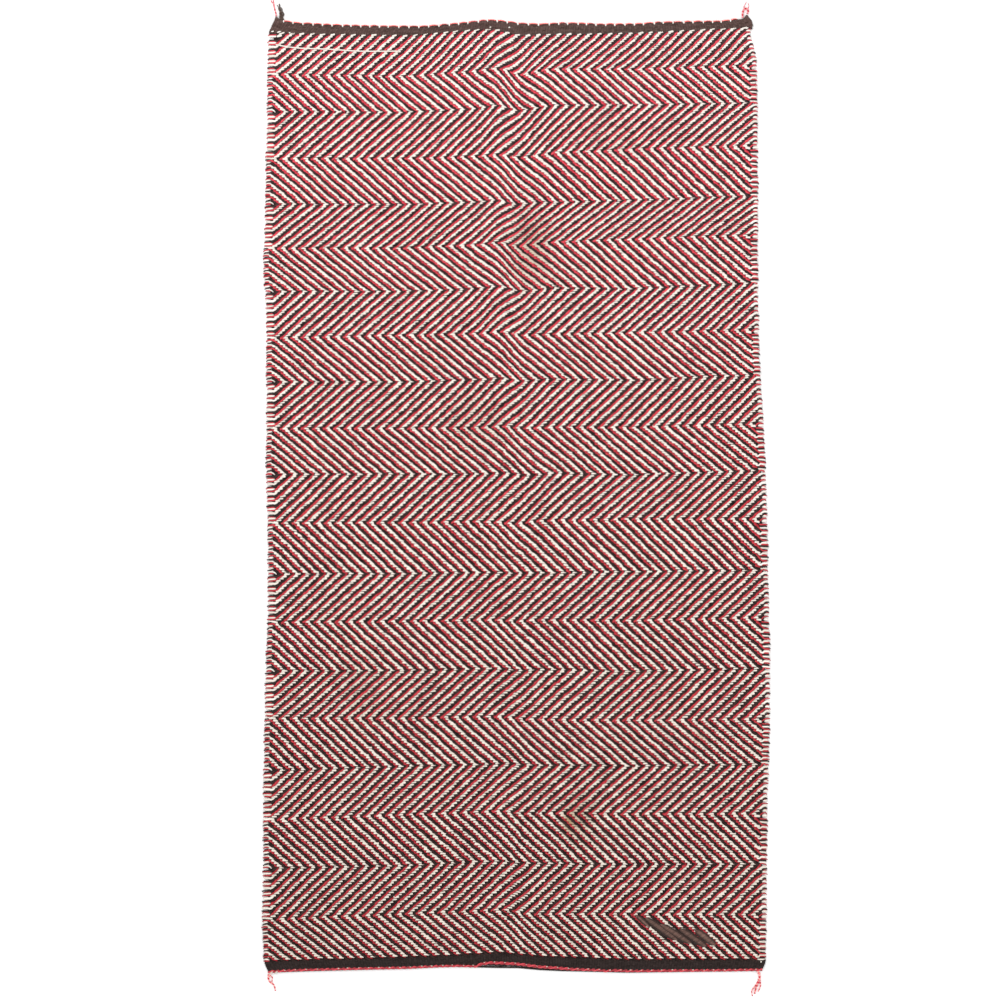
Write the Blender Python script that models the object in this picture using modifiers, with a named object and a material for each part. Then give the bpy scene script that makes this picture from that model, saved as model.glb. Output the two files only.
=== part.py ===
"""Double saddle blanket, woven wool, lying flat.

One weft-faced twill cloth with a plain woven band at each end, a twisted cord along each end,
a red yarn tassel at each corner and a tuft of the side cords at the upper left corner.

Units are metres. +Y runs up the length of the blanket, +X to its right, and +Z up from the
ground it lies on. The origin is on the ground, at the middle of the whole thing's box.
"""

import math

import bmesh
import bpy
from mathutils import Vector

MM = 0.001

# Gap that two touching pieces keep
CLEARANCE = 0.3 * MM

# Cloth: thickness of the twill, and of the fuller selvage that runs down each side
TWILL_THICKNESS = 4.5 * MM
SELVAGE_THICKNESS = 5.2 * MM
EDGE_THICKNESS = 3.2 * MM
END_THICKNESS = 3.8 * MM
UNEVEN_WEAVE = 0.3 * MM

# Edges of the cloth that lift a little off the ground
ROLLED_EDGE = 0.8 * MM
SIDE_RIPPLE = 1.5 * MM
SIDE_RIPPLE_LENGTH = 210 * MM
RIPPLE_REACH = 60 * MM

# Grid of the cloth: narrow steps beside an edge, as shares of the whole, then even ones
NARROW_STEPS_ACROSS = (0.0, 0.005, 0.014, 0.032)
NARROW_STEPS_ALONG = (0.0, 0.003, 0.008, 0.02)
EVEN_STEPS_ACROSS = 24
EVEN_STEPS_ALONG = 36

# Side edges, in millimetres from the middle: (height, left edge, right edge)
SIDE_EDGES = (
    (755, -376, 357.5),
    (745, -379, 366),
    (738, -382, 368),
    (727, -387, 364),
    (705, -388, 370),
    (683, -388, 374),
    (605, -389, 375),
    (527, -391, 376),
    (449, -392, 376),
    (371, -395, 376),
    (293, -391, 377),
    (215, -390, 379),
    (137, -390, 383),
    (59, -391, 388),
    (-19, -389, 390),
    (-97, -388, 392),
    (-175, -388, 393),
    (-253, -391, 395),
    (-331, -392, 395),
    (-409, -395, 393),
    (-487, -395, 391),
    (-565, -395, 390),
    (-643, -397, 390),
    (-713, -395, 388),
    (-727, -393, 387),
    (-738, -388, 383),
)

# Upper end of the cloth, in millimetres from the middle: (across, height)
UPPER_END = (
    (-376, 752),
    (-370, 746.5),
    (-363, 743.5),
    (-338, 740),
    (-276, 737),
    (-245, 736),
    (-182, 735),
    (-151, 735),
    (-120, 737),
    (-89, 740),
    (-58, 743.5),
    (-45, 745),
    (-26, 744),
    (5, 739.5),
    (36, 738.5),
    (67, 740),
    (98, 740),
    (129, 738),
    (192, 739),
    (223, 741.5),
    (285, 742.5),
    (317, 743),
    (345, 746.5),
    (352.5, 747),
    (357.5, 754.5),
)

# Lower end of the cloth, above its cord, in millimetres from the middle: (across, height)
LOWER_END = (
    (-388, -737),
    (-329, -735),
    (-276, -733.5),
    (-240, -732.5),
    (-172, -731),
    (-120, -728.5),
    (-92, -728),
    (-39, -729.5),
    (3, -730),
    (36, -733),
    (69, -734.5),
    (173, -737),
    (253, -736),
    (332, -735),
    (383, -734),
)

# Cord along the lower end: two plies, so its section is an ellipse that turns along it
LOWER_CORD_WIDTH = 4.2 * MM
LOWER_CORD_WAIST = 2.8 * MM
LOWER_CORD_TURN = 16 * MM
LOWER_CORD_SIDES = 6
STEPS_PER_HALF_TURN = 3

# Cord along the upper end, almost hidden by the cloth's edge, and the grid lines it starts and ends at
UPPER_CORD_WIDTH = 2.2 * MM
UPPER_CORD_SIDES = 6
UPPER_CORD_FIRST_COLUMN = 3
UPPER_CORD_LAST_COLUMN = -3

# Tassel yarn
STRAND_WIDTH = 2.6 * MM
FRAYED_WIDTH = 1.8 * MM
TUFT_WIDTH = 3.4 * MM
KNOT_RADIUS = 2.2 * MM
STEPS_PER_STRAND_POINT = 3

# Colours in linear light, and how dull the wool is
TWILL_COLOUR = (0.41, 0.20, 0.19, 1.0)
RED_YARN_COLOUR = (0.50, 0.055, 0.07, 1.0)
BROWN_YARN_COLOUR = (0.10, 0.06, 0.05, 1.0)
WOOL_ROUGHNESS = 0.92


def clear_scene():
    """Remove whatever the scene holds before the blanket is made."""
    for obj in list(bpy.data.objects):
        bpy.data.objects.remove(obj, do_unlink=True)


def make_collection(name):
    """Return a new collection, linked to the scene."""
    collection = bpy.data.collections.new(name)
    bpy.context.scene.collection.children.link(collection)
    return collection


def wool(name, colour):
    """Return a dull wool material of one colour."""
    material = bpy.data.materials.new(name)
    material.use_nodes = True
    shader = material.node_tree.nodes["Principled BSDF"]
    shader.inputs["Base Color"].default_value = colour
    shader.inputs["Roughness"].default_value = WOOL_ROUGHNESS
    shader.inputs["Metallic"].default_value = 0.0
    return material


def read_table(rows, position, column):
    """Return a table's value in a column, straight between the rows beside the position."""
    ordered = sorted(rows)
    if position <= ordered[0][0]:
        return ordered[0][column]
    for before, after in zip(ordered, ordered[1:]):
        if position <= after[0]:
            share = (position - before[0]) / (after[0] - before[0])
            return before[column] + share * (after[column] - before[column])
    return ordered[-1][column]


def left_edge(height):
    return read_table(SIDE_EDGES, height / MM, 1) * MM


def right_edge(height):
    return read_table(SIDE_EDGES, height / MM, 2) * MM


def upper_end(across):
    return read_table(UPPER_END, across / MM, 1) * MM


def lower_end(across):
    return read_table(LOWER_END, across / MM, 1) * MM


def side_place(side_edge, corner_across, share_along):
    """Return how far across a side edge lies, at a share of the way between its two corners."""
    lower_corner = lower_end(corner_across)
    upper_corner = upper_end(corner_across)
    return side_edge(lower_corner + share_along * (upper_corner - lower_corner))


def cloth_point(share_across, share_along):
    """Return the place on the ground of a point of the cloth, from its shares of both sides."""
    left = side_place(left_edge, left_edge(0), share_along)
    right = side_place(right_edge, right_edge(0), share_along)
    across = left + share_across * (right - left)
    height = lower_end(across) + share_along * (upper_end(across) - lower_end(across))
    return across, height


def grid_shares(narrow_steps, even_steps):
    """Return the grid's lines: narrow steps in from both edges, even ones between them."""
    first = narrow_steps[-1]
    even = [first + (1 - 2 * first) * step / even_steps for step in range(1, even_steps)]
    far_side = [1 - share for share in reversed(narrow_steps)]
    return list(narrow_steps) + even + far_side


SHARES_ACROSS = grid_shares(NARROW_STEPS_ACROSS, EVEN_STEPS_ACROSS)
SHARES_ALONG = grid_shares(NARROW_STEPS_ALONG, EVEN_STEPS_ALONG)


def edge_nearness(across, height):
    """Return 1 at a side edge of the cloth, falling to 0 where the ripples end."""
    inset = min(across - left_edge(height), right_edge(height) - across)
    return max(0.0, 1.0 - inset / RIPPLE_REACH)


def corner_nearness(height):
    """Return 1 near either end of the cloth, where the cords hold it down, and 0 far from them."""
    inset = min(upper_end(0) - height, height - lower_end(0))
    return max(0.0, 1.0 - inset / RIPPLE_REACH)


def underside_height(across, height, is_edge):
    """Return how high the underside is: on the ground, but for ripples along the side edges."""
    wave = 0.5 + 0.5 * math.sin(2 * math.pi * height / SIDE_RIPPLE_LENGTH + 7 * across)
    ripple = SIDE_RIPPLE * wave * edge_nearness(across, height) ** 2 * (1 - corner_nearness(height))
    return ripple + (ROLLED_EDGE if is_edge else 0.0)


def cloth_thickness(column, row, across, height):
    """Return the cloth's thickness: thin at the very edge, full at the selvage, uneven between."""
    columns_in = min(column, len(SHARES_ACROSS) - 1 - column)
    rows_in = min(row, len(SHARES_ALONG) - 1 - row)
    uneven = math.sin(23 * across + 5 * height) * math.sin(17 * height - 9 * across)
    thickness = TWILL_THICKNESS + UNEVEN_WEAVE * uneven
    if columns_in == 0:
        return EDGE_THICKNESS - ROLLED_EDGE
    if rows_in == 0:
        return END_THICKNESS - ROLLED_EDGE
    if columns_in <= 2:
        return SELVAGE_THICKNESS
    return thickness


def make_cloth(collection):
    """Make the woven cloth: a grid drawn out to the blanket's outline, then thickened upwards."""
    last_column = len(SHARES_ACROSS) - 1
    last_row = len(SHARES_ALONG) - 1
    cage = bmesh.new()
    bmesh.ops.create_grid(cage, x_segments=last_column, y_segments=last_row, size=1.0)
    full = SELVAGE_THICKNESS + UNEVEN_WEAVE
    shares = []
    for vert in cage.verts:
        column = round((vert.co.x + 1) / 2 * last_column)
        row = round((vert.co.y + 1) / 2 * last_row)
        across, height = cloth_point(SHARES_ACROSS[column], SHARES_ALONG[row])
        is_edge = column in (0, last_column) or row in (0, last_row)
        vert.co = Vector((across, height, underside_height(across, height, is_edge)))
        shares.append(cloth_thickness(column, row, across, height) / full)
    mesh = bpy.data.meshes.new("blanket_cloth")
    cage.to_mesh(mesh)
    cage.free()
    cloth = bpy.data.objects.new("blanket_cloth", mesh)
    collection.objects.link(cloth)
    thickness_group = cloth.vertex_groups.new(name="thickness")
    for index, share in enumerate(shares):
        thickness_group.add([index], share, "REPLACE")
    solidify = cloth.modifiers.new("thickness", "SOLIDIFY")
    solidify.thickness = full
    solidify.offset = 1.0
    solidify.vertex_group = "thickness"
    solidify.thickness_vertex_group = 0.0
    mesh.materials.append(wool("herringbone_twill_wool", TWILL_COLOUR))
    mesh.shade_smooth()
    return cloth


def walk(corners, step):
    """Return points a step apart along straight runs through the corners, both ends kept."""
    points = []
    for start, end in zip(corners, corners[1:]):
        pieces = max(1, round((end - start).length / step))
        points += [start.lerp(end, piece / pieces) for piece in range(pieces)]
    return points + [corners[-1]]


def poly_curve(name, points, radii, tilts, collection):
    """Return a curve object of straight runs through the points, with a width and turn at each."""
    curve = bpy.data.curves.new(name, "CURVE")
    curve.dimensions = "3D"
    curve.twist_mode = "Z_UP"
    curve.use_fill_caps = True
    spline = curve.splines.new("POLY")
    spline.points.add(len(points) - 1)
    for target, point, radius, tilt in zip(spline.points, points, radii, tilts):
        target.co = (*point, 1.0)
        target.radius = radius
        target.tilt = tilt
    obj = bpy.data.objects.new(name, curve)
    collection.objects.link(obj)
    return obj


def make_section(name, width, waist, sides, guides):
    """Return a closed elliptical outline that a cord's curve is swept with."""
    curve = bpy.data.curves.new(name, "CURVE")
    curve.dimensions = "2D"
    spline = curve.splines.new("POLY")
    spline.points.add(sides - 1)
    spline.use_cyclic_u = True
    for side, target in enumerate(spline.points):
        angle = -2 * math.pi * side / sides
        target.co = (width / 2 * math.cos(angle), waist / 2 * math.sin(angle), 0.0, 1.0)
    outline = bpy.data.objects.new(name, curve)
    guides.objects.link(outline)
    outline.hide_render = True
    outline.display_type = "WIRE"
    return outline


def make_lower_cord(collection, guides):
    """Make the two-ply cord along the lower end, whose twist shows as a row of bumps."""
    offset = LOWER_CORD_WIDTH / 2 + CLEARANCE
    corners = []
    for share in SHARES_ACROSS:
        across, height = cloth_point(share, 0.0)
        corners.append(Vector((across, height - offset, LOWER_CORD_WIDTH / 2)))
    points = walk(corners, LOWER_CORD_TURN / 2 / STEPS_PER_HALF_TURN)
    tilts = []
    travelled = 0.0
    for index, point in enumerate(points):
        travelled += (point - points[max(index - 1, 0)]).length
        tilts.append(2 * math.pi * travelled / LOWER_CORD_TURN)
    cord = poly_curve("end_cord_bottom", points, [1.0] * len(points), tilts, collection)
    section = make_section("two_ply_section", LOWER_CORD_WIDTH, LOWER_CORD_WAIST, LOWER_CORD_SIDES, guides)
    cord.data.bevel_mode = "OBJECT"
    cord.data.bevel_object = section
    cord.data.materials.append(wool("lower_cord_wool", RED_YARN_COLOUR))
    return cord


def make_upper_cord(collection):
    """Make the thin cord along the upper end, between the two drawn-out corners."""
    radius = UPPER_CORD_WIDTH / 2
    flat_side_height = radius * math.cos(math.pi / UPPER_CORD_SIDES)
    offset = radius + CLEARANCE
    points = []
    for share in SHARES_ACROSS[UPPER_CORD_FIRST_COLUMN : UPPER_CORD_LAST_COLUMN + 1]:
        across, height = cloth_point(share, 1.0)
        points.append(Vector((across, height + offset, flat_side_height)))
    level = [1.0] * len(points)
    cord = poly_curve("end_cord_top", points, level, [0.0] * len(points), collection)
    cord.data.bevel_depth = radius
    cord.data.bevel_resolution = UPPER_CORD_SIDES // 2 - 2
    cord.data.materials.append(wool("upper_cord_wool", RED_YARN_COLOUR))
    return cord


def smooth_route(corners, steps):
    """Return a smooth run of points through the corners, with some steps between each two."""
    padded = [corners[0]] + list(corners) + [corners[-1]]
    route = []
    for before, start, end, after in zip(padded, padded[1:], padded[2:], padded[3:]):
        for step in range(steps):
            t = step / steps
            bend_in = (end - before) / 2
            bend_out = (after - start) / 2
            point = (2 * t**3 - 3 * t**2 + 1) * start + (t**3 - 2 * t**2 + t) * bend_in
            route.append(point + (3 * t**2 - 2 * t**3) * end + (t**3 - t**2) * bend_out)
    return route + [corners[-1]]


def as_mesh(curve_object, collection):
    """Return a closed mesh object in a curve's place, and remove the curve."""
    name = curve_object.name
    depsgraph = bpy.context.evaluated_depsgraph_get()
    mesh = bpy.data.meshes.new_from_object(curve_object.evaluated_get(depsgraph))
    shape = bmesh.new()
    shape.from_mesh(mesh)
    bmesh.ops.remove_doubles(shape, verts=shape.verts, dist=0.01 * MM)
    shape.to_mesh(mesh)
    shape.free()
    matrix = curve_object.matrix_world.copy()
    bpy.data.objects.remove(curve_object, do_unlink=True)
    mesh_object = bpy.data.objects.new(name, mesh)
    mesh_object.matrix_world = matrix
    collection.objects.link(mesh_object)
    return mesh_object


def make_strand(name, places, width, end_width, collection):
    """Make a square strand through places given in millimetres, its flat side on the ground."""
    corners = [Vector((across * MM, height * MM)) for across, height in places]
    route = smooth_route(corners, STEPS_PER_STRAND_POINT)
    widths = [width + (end_width - width) * step / (len(route) - 1) for step in range(len(route))]
    points = [Vector((*place, each / 2)) for place, each in zip(route, widths)]
    radii = [each / width for each in widths]
    strand = poly_curve(name, points, radii, [math.radians(45)] * len(points), collection)
    strand.data.bevel_depth = width / 2 * math.sqrt(2)
    strand.data.bevel_resolution = 0
    return as_mesh(strand, collection)


def make_knot(name, across, height, collection):
    """Make a round knot of yarn that rests on the ground, its centre given in millimetres."""
    shape = bmesh.new()
    bmesh.ops.create_icosphere(shape, subdivisions=2, radius=KNOT_RADIUS)
    mesh = bpy.data.meshes.new(name)
    shape.to_mesh(mesh)
    shape.free()
    lowest = min(vert.co.z for vert in mesh.vertices)
    knot = bpy.data.objects.new(name, mesh)
    knot.location = (across * MM, height * MM, -lowest)
    collection.objects.link(knot)
    return knot


def fuse(name, base, others, material, collection, guides):
    """Join overlapping strands and knots into one body, which keeps the base's shape as a start."""
    base.name = name
    base.data.name = name
    for other in others:
        guides.objects.link(other)
        collection.objects.unlink(other)
        other.hide_render = True
        other.display_type = "WIRE"
        joint = base.modifiers.new(other.name, "BOOLEAN")
        joint.operation = "UNION"
        joint.solver = "EXACT"
        joint.object = other
    base.data.materials.clear()
    base.data.materials.append(material)
    return base


def make_tassel_top_left(collection, guides):
    """Make the red two-ply strand that leaves the upper left corner and opens at its end."""
    root = upper_end(-0.376) / MM + 0.4
    strand = make_strand(
        "top_left_strand",
        ((-375.6, root), (-376.2, 756), (-378.3, 764), (-379.6, 771)),
        STRAND_WIDTH,
        STRAND_WIDTH,
        collection,
    )
    near_ply = make_strand(
        "top_left_near_ply",
        ((-379.2, 769), (-381.5, 773), (-384, 776.5), (-387, 781)),
        FRAYED_WIDTH,
        FRAYED_WIDTH * 0.7,
        collection,
    )
    far_ply = make_strand(
        "top_left_far_ply",
        ((-379.2, 769), (-379.4, 774), (-380, 779), (-381.2, 785)),
        FRAYED_WIDTH,
        FRAYED_WIDTH * 0.7,
        collection,
    )
    material = wool("top_left_tassel_wool", RED_YARN_COLOUR)
    return fuse("corner_tassel_top_left", strand, [near_ply, far_ply], material, collection, guides)


def make_tuft_top_left(collection, guides):
    """Make the brown tuft, the ends of the side cords, that stands beside the upper left corner."""
    trunk = make_strand(
        "tuft_trunk",
        ((-367.6, 747.3), (-367.8, 753), (-369, 762), (-370.6, 771)),
        TUFT_WIDTH,
        FRAYED_WIDTH * 0.7,
        collection,
    )
    near_branch = make_strand(
        "tuft_near_branch",
        ((-369, 759), (-371.6, 763.5), (-373.4, 766.5), (-374.4, 769.5)),
        FRAYED_WIDTH,
        FRAYED_WIDTH * 0.7,
        collection,
    )
    far_loop = make_strand(
        "tuft_far_loop",
        ((-367, 749.4), (-365.2, 754.4), (-366, 759.5), (-368.6, 764)),
        FRAYED_WIDTH,
        FRAYED_WIDTH,
        collection,
    )
    material = wool("tuft_wool", BROWN_YARN_COLOUR)
    return fuse("selvage_tuft_top_left", trunk, [near_branch, far_loop], material, collection, guides)


def make_tassel_top_right(collection, guides):
    """Make the short looped stub of red yarn at the upper right corner, with two frayed ends."""
    loop = make_strand(
        "top_right_loop",
        ((351.9, 749.3), (351.9, 756), (353.6, 761.6), (357, 763.4), (360.4, 760.6), (359.4, 755.2)),
        STRAND_WIDTH,
        STRAND_WIDTH,
        collection,
    )
    near_end = make_strand(
        "top_right_near_end",
        ((354.4, 761.6), (354.4, 766), (355.4, 770), (358.6, 774)),
        FRAYED_WIDTH,
        FRAYED_WIDTH * 0.7,
        collection,
    )
    far_end = make_strand(
        "top_right_far_end",
        ((359, 761), (361.4, 765), (361.4, 768), (360.4, 771.5)),
        FRAYED_WIDTH,
        FRAYED_WIDTH * 0.7,
        collection,
    )
    material = wool("top_right_tassel_wool", RED_YARN_COLOUR)
    return fuse("corner_tassel_top_right", loop, [near_end, far_end], material, collection, guides)


def make_tassel_bottom_left(collection, guides):
    """Make the knot under the lower left corner, with its long strand and its short loop."""
    knot = make_knot("bottom_left_knot", -386.2, lower_cord_underside(-386.2) - 2.6, collection)
    strand = make_strand(
        "bottom_left_strand",
        ((-386.6, -744.5), (-387.6, -749), (-385.4, -754.5), (-379, -759.6), (-376.8, -768.4)),
        STRAND_WIDTH,
        FRAYED_WIDTH * 0.7,
        collection,
    )
    loop = make_strand(
        "bottom_left_loop",
        ((-385.4, -744.5), (-382.2, -747.6), (-381.4, -752.4), (-383.6, -755.8)),
        FRAYED_WIDTH,
        FRAYED_WIDTH,
        collection,
    )
    material = wool("bottom_left_tassel_wool", RED_YARN_COLOUR)
    return fuse("corner_tassel_bottom_left", knot, [strand, loop], material, collection, guides)


def make_tassel_bottom_right(collection, guides):
    """Make the two knots under the lower right corner, and the three strands below them."""
    top_knot = make_knot("bottom_right_top_knot", 377.4, lower_cord_underside(377.4) - 2.6, collection)
    stem = make_strand(
        "bottom_right_stem",
        ((377.4, -741), (378.4, -746), (378.2, -750), (377.6, -753)),
        STRAND_WIDTH,
        STRAND_WIDTH,
        collection,
    )
    low_knot = make_knot("bottom_right_low_knot", 377.8, -752, collection)
    near_strand = make_strand(
        "bottom_right_near_strand",
        ((377.2, -752), (372.2, -760), (366.4, -768.4), (367.2, -777)),
        FRAYED_WIDTH,
        FRAYED_WIDTH * 0.7,
        collection,
    )
    middle_strand = make_strand(
        "bottom_right_middle_strand",
        ((377.6, -752), (375, -759), (372.8, -765), (370.4, -773)),
        STRAND_WIDTH,
        FRAYED_WIDTH,
        collection,
    )
    far_strand = make_strand(
        "bottom_right_far_strand",
        ((378, -752), (379.8, -757), (379.4, -762), (376, -770.4)),
        FRAYED_WIDTH,
        FRAYED_WIDTH * 0.7,
        collection,
    )
    strands = [stem, low_knot, near_strand, middle_strand, far_strand]
    material = wool("bottom_right_tassel_wool", RED_YARN_COLOUR)
    return fuse("corner_tassel_bottom_right", top_knot, strands, material, collection, guides)


def lower_cord_underside(across):
    """Return, in millimetres, how low the lower cord reaches at a place given in millimetres."""
    return (lower_end(across * MM) - CLEARANCE - LOWER_CORD_WIDTH) / MM


def hang_on_origin(pieces, collection):
    """Parent the pieces to an empty that puts the middle of their box over the origin."""
    bpy.context.view_layer.update()
    depsgraph = bpy.context.evaluated_depsgraph_get()
    corners = []
    for piece in pieces:
        seen = piece.evaluated_get(depsgraph)
        corners += [seen.matrix_world @ Vector(corner) for corner in seen.bound_box]
    middle = [(min(c[axis] for c in corners) + max(c[axis] for c in corners)) / 2 for axis in (0, 1)]
    holder = bpy.data.objects.new("saddle_blanket_origin", None)
    collection.objects.link(holder)
    for obj in list(bpy.data.objects):
        if obj is not holder:
            obj.parent = holder
    holder.location = (-middle[0], -middle[1], 0.0)


def main():
    clear_scene()
    blanket = make_collection("saddle_blanket")
    guides = make_collection("sections_and_cutters")
    pieces = [
        make_cloth(blanket),
        make_lower_cord(blanket, guides),
        make_upper_cord(blanket),
        make_tassel_top_left(blanket, guides),
        make_tuft_top_left(blanket, guides),
        make_tassel_top_right(blanket, guides),
        make_tassel_bottom_left(blanket, guides),
        make_tassel_bottom_right(blanket, guides),
    ]
    hang_on_origin(pieces, blanket)


main()
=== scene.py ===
"""Dress the double saddle blanket and light it for a view from straight above.

The blanket is a weft-faced herringbone twill. Every stretch of weft that shows, called a float here,
is a small raised bead of yarn. A pick is one row of weft, counted from the upper end, and a warp is
one of the hidden threads that run the blanket's length, counted from its left side.
"""

import logging
import math
import random
from collections.abc import Sequence
from dataclasses import dataclass, field
from enum import Enum

import bpy
import numpy as np
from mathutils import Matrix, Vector


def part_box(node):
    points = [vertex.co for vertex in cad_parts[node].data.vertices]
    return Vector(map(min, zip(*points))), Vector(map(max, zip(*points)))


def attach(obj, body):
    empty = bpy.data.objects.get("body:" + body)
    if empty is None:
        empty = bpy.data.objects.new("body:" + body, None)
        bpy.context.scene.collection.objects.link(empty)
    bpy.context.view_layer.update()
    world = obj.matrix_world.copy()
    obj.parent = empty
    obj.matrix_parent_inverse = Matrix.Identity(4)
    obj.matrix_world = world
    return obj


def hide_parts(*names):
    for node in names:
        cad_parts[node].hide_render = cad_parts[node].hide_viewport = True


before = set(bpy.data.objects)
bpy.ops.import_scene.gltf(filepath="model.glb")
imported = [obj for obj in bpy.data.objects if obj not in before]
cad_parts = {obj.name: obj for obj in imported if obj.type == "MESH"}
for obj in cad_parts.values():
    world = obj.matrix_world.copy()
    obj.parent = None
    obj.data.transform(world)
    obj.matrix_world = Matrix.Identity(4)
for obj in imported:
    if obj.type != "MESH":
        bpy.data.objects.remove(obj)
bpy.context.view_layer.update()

log = logging.getLogger("saddle_blanket")

MM = 0.001
SEED = 7

# How far a ply's middle lies from its cord's own line, as a share of the ply's radius
PLY_SPREAD = 0.9

# Types: pairs of arrays, linear colours, places as (across, height), and the parts of a Blender file
Arrays = tuple[np.ndarray, np.ndarray]
Colour = tuple[float, float, float]
Place = tuple[float, float]
Material = bpy.types.Material
Piece = bpy.types.Object
Socket = bpy.types.NodeSocket
Tree = bpy.types.NodeTree

# Side edges, in millimetres from the blanket's middle: (height, left edge, right edge)
SIDE_EDGES = (
    (755, -376, 357.5),
    (745, -379, 366),
    (738, -382, 368),
    (727, -387, 364),
    (705, -388, 370),
    (683, -388, 374),
    (605, -389, 375),
    (527, -391, 376),
    (449, -392, 376),
    (371, -395, 376),
    (293, -391, 377),
    (215, -390, 379),
    (137, -390, 383),
    (59, -391, 388),
    (-19, -389, 390),
    (-97, -388, 392),
    (-175, -388, 393),
    (-253, -391, 395),
    (-331, -392, 395),
    (-409, -395, 393),
    (-487, -395, 391),
    (-565, -395, 390),
    (-643, -397, 390),
    (-713, -395, 388),
    (-727, -393, 387),
    (-738, -388, 383),
)

# Upper end of the cloth, in millimetres from the middle: (across, height)
UPPER_END = (
    (-376, 752),
    (-370, 746.5),
    (-363, 743.5),
    (-338, 740),
    (-276, 737),
    (-245, 736),
    (-182, 735),
    (-151, 735),
    (-120, 737),
    (-89, 740),
    (-58, 743.5),
    (-45, 745),
    (-26, 744),
    (5, 739.5),
    (36, 738.5),
    (67, 740),
    (98, 740),
    (129, 738),
    (192, 739),
    (223, 741.5),
    (285, 742.5),
    (317, 743),
    (345, 746.5),
    (352.5, 747),
    (357.5, 754.5),
)

# Lower end of the cloth, above its cord, in millimetres from the middle: (across, height)
LOWER_END = (
    (-388, -737),
    (-329, -735),
    (-276, -733.5),
    (-240, -732.5),
    (-172, -731),
    (-120, -728.5),
    (-92, -728),
    (-39, -729.5),
    (3, -730),
    (36, -733),
    (69, -734.5),
    (173, -737),
    (253, -736),
    (332, -735),
    (383, -734),
)

# How far the lower cord lies above the cloth's very edge, in millimetres: (across, lift)
CORD_LIFT = (
    (-388, 0.2),
    (-350, 0.9),
    (-300, 0.8),
    (-200, 0.3),
    (-64, 0.3),
    (-54, 5.0),
    (-42, 6.6),
    (-26, 6.5),
    (8, 5.0),
    (28, 4.1),
    (67, 3.2),
    (86, 2.0),
    (131, 1.4),
    (139, 0.2),
    (150, 1.8),
    (176, 1.2),
    (285, 0.6),
    (383, 0.3),
)

# Places across, in millimetres, where the heights of the turns below are measured: the two sides,
# half way to them, and around the crease that runs down the middle of the upper half
TURN_STATIONS = (-370, -175, -60, -33, -21, -5, 8, 27, 55, 175, 370)

# Lines where the stripes start, turn and end, from the upper band to the lower one:
# (picks above the line since the one before, height at each station)
TURN_LINES = (
    (16, 724.0, 720.5, 729.7, 730.5, 727.5, 722.2, 721.0, 721.0, 722.2, 724.0, 733.5),
    (54, 660.5, 657.0, 666.0, 670.5, 668.0, 661.5, 659.8, 665.0, 669.3, 668.5, 674.5),
    (48, 602.5, 601.0, 607.5, 612.3, 610.2, 604.8, 603.6, 607.9, 612.3, 612.5, 616.0),
    (60, 529.0, 529.0, 532.7, 535.2, 534.0, 531.0, 530.6, 533.3, 537.8, 543.5, 550.0),
    (60, 458.0, 457.5, 461.6, 464.8, 462.8, 458.0, 458.0, 460.3, 460.7, 464.0, 470.5),
    (60, 389.5, 389.5, 395.2, 398.6, 397.2, 393.0, 392.3, 395.7, 399.3, 403.5, 410.5),
    (60, 322.0, 322.0, 326.5, 330.3, 329.5, 324.0, 322.2, 324.4, 327.3, 326.0, 335.0),
    (60, 249.5, 254.0, 256.1, 259.8, 259.8, 256.6, 253.5, 255.0, 255.2, 257.5, 262.5),
    (60, 181.0, 181.0, 184.8, 186.6, 186.9, 183.9, 181.8, 183.8, 185.4, 183.5, 192.0),
    (60, 108.5, 108.5, 109.7, 111.6, 111.8, 110.2, 108.6, 109.2, 110.6, 110.0, 116.0),
    (60, 37.0, 37.5, 37.2, 38.5, 38.8, 38.2, 36.1, 36.2, 39.3, 36.0, 42.5),
    (60, -39.0, -38.0, -36.8, -37.2, -38.0, -39.7, -38.8, -36.1, -34.8, -32.5, -32.5),
    (60, -118.5, -118.0, -116.0, -115.6, -116.6, -117.6, -117.1, -116.8, -116.6, -115.0, -112.5),
    (60, -193.5, -192.0, -189.6, -190.2, -190.9, -191.6, -191.5, -189.7, -190.0, -191.0, -186.0),
    (60, -270.0, -268.5, -266.5, -265.7, -266.4, -267.6, -268.8, -267.8, -267.0, -270.5, -265.5),
    (60, -343.5, -343.0, -340.9, -340.3, -341.0, -342.1, -344.5, -345.4, -345.4, -346.5, -344.5),
    (60, -424.0, -418.0, -415.1, -414.1, -413.7, -414.1, -416.0, -416.4, -416.1, -417.5, -415.0),
    (60, -500.5, -493.5, -489.4, -488.1, -487.6, -489.5, -491.5, -491.9, -491.1, -492.5, -492.0),
    (60, -577.0, -573.0, -566.5, -565.4, -565.6, -566.5, -568.9, -569.9, -569.4, -571.0, -570.5),
    (60, -656.0, -648.0, -643.1, -641.5, -641.3, -643.4, -647.4, -649.1, -648.0, -649.0, -649.0),
    (57, -722.0, -717.0, -711.5, -709.6, -709.5, -711.8, -712.6, -714.0, -716.0, -720.5, -720.0),
)

# Picks in the plain band below the last of those lines
LOWER_BAND_PICKS = 14


class Yarn(Enum):
    """The three yarns of the twill, in the order in which their stripes follow each other."""

    PALE = 0
    DARK = 1
    RED = 2


class Slant(Enum):
    """Which way the stripes of a band run, seen from above with the upper end at the top."""

    RISING = 1
    FALLING = -1


class Face(Enum):
    """The two faces of the cloth."""

    FRONT = 1
    BACK = -1


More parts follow.
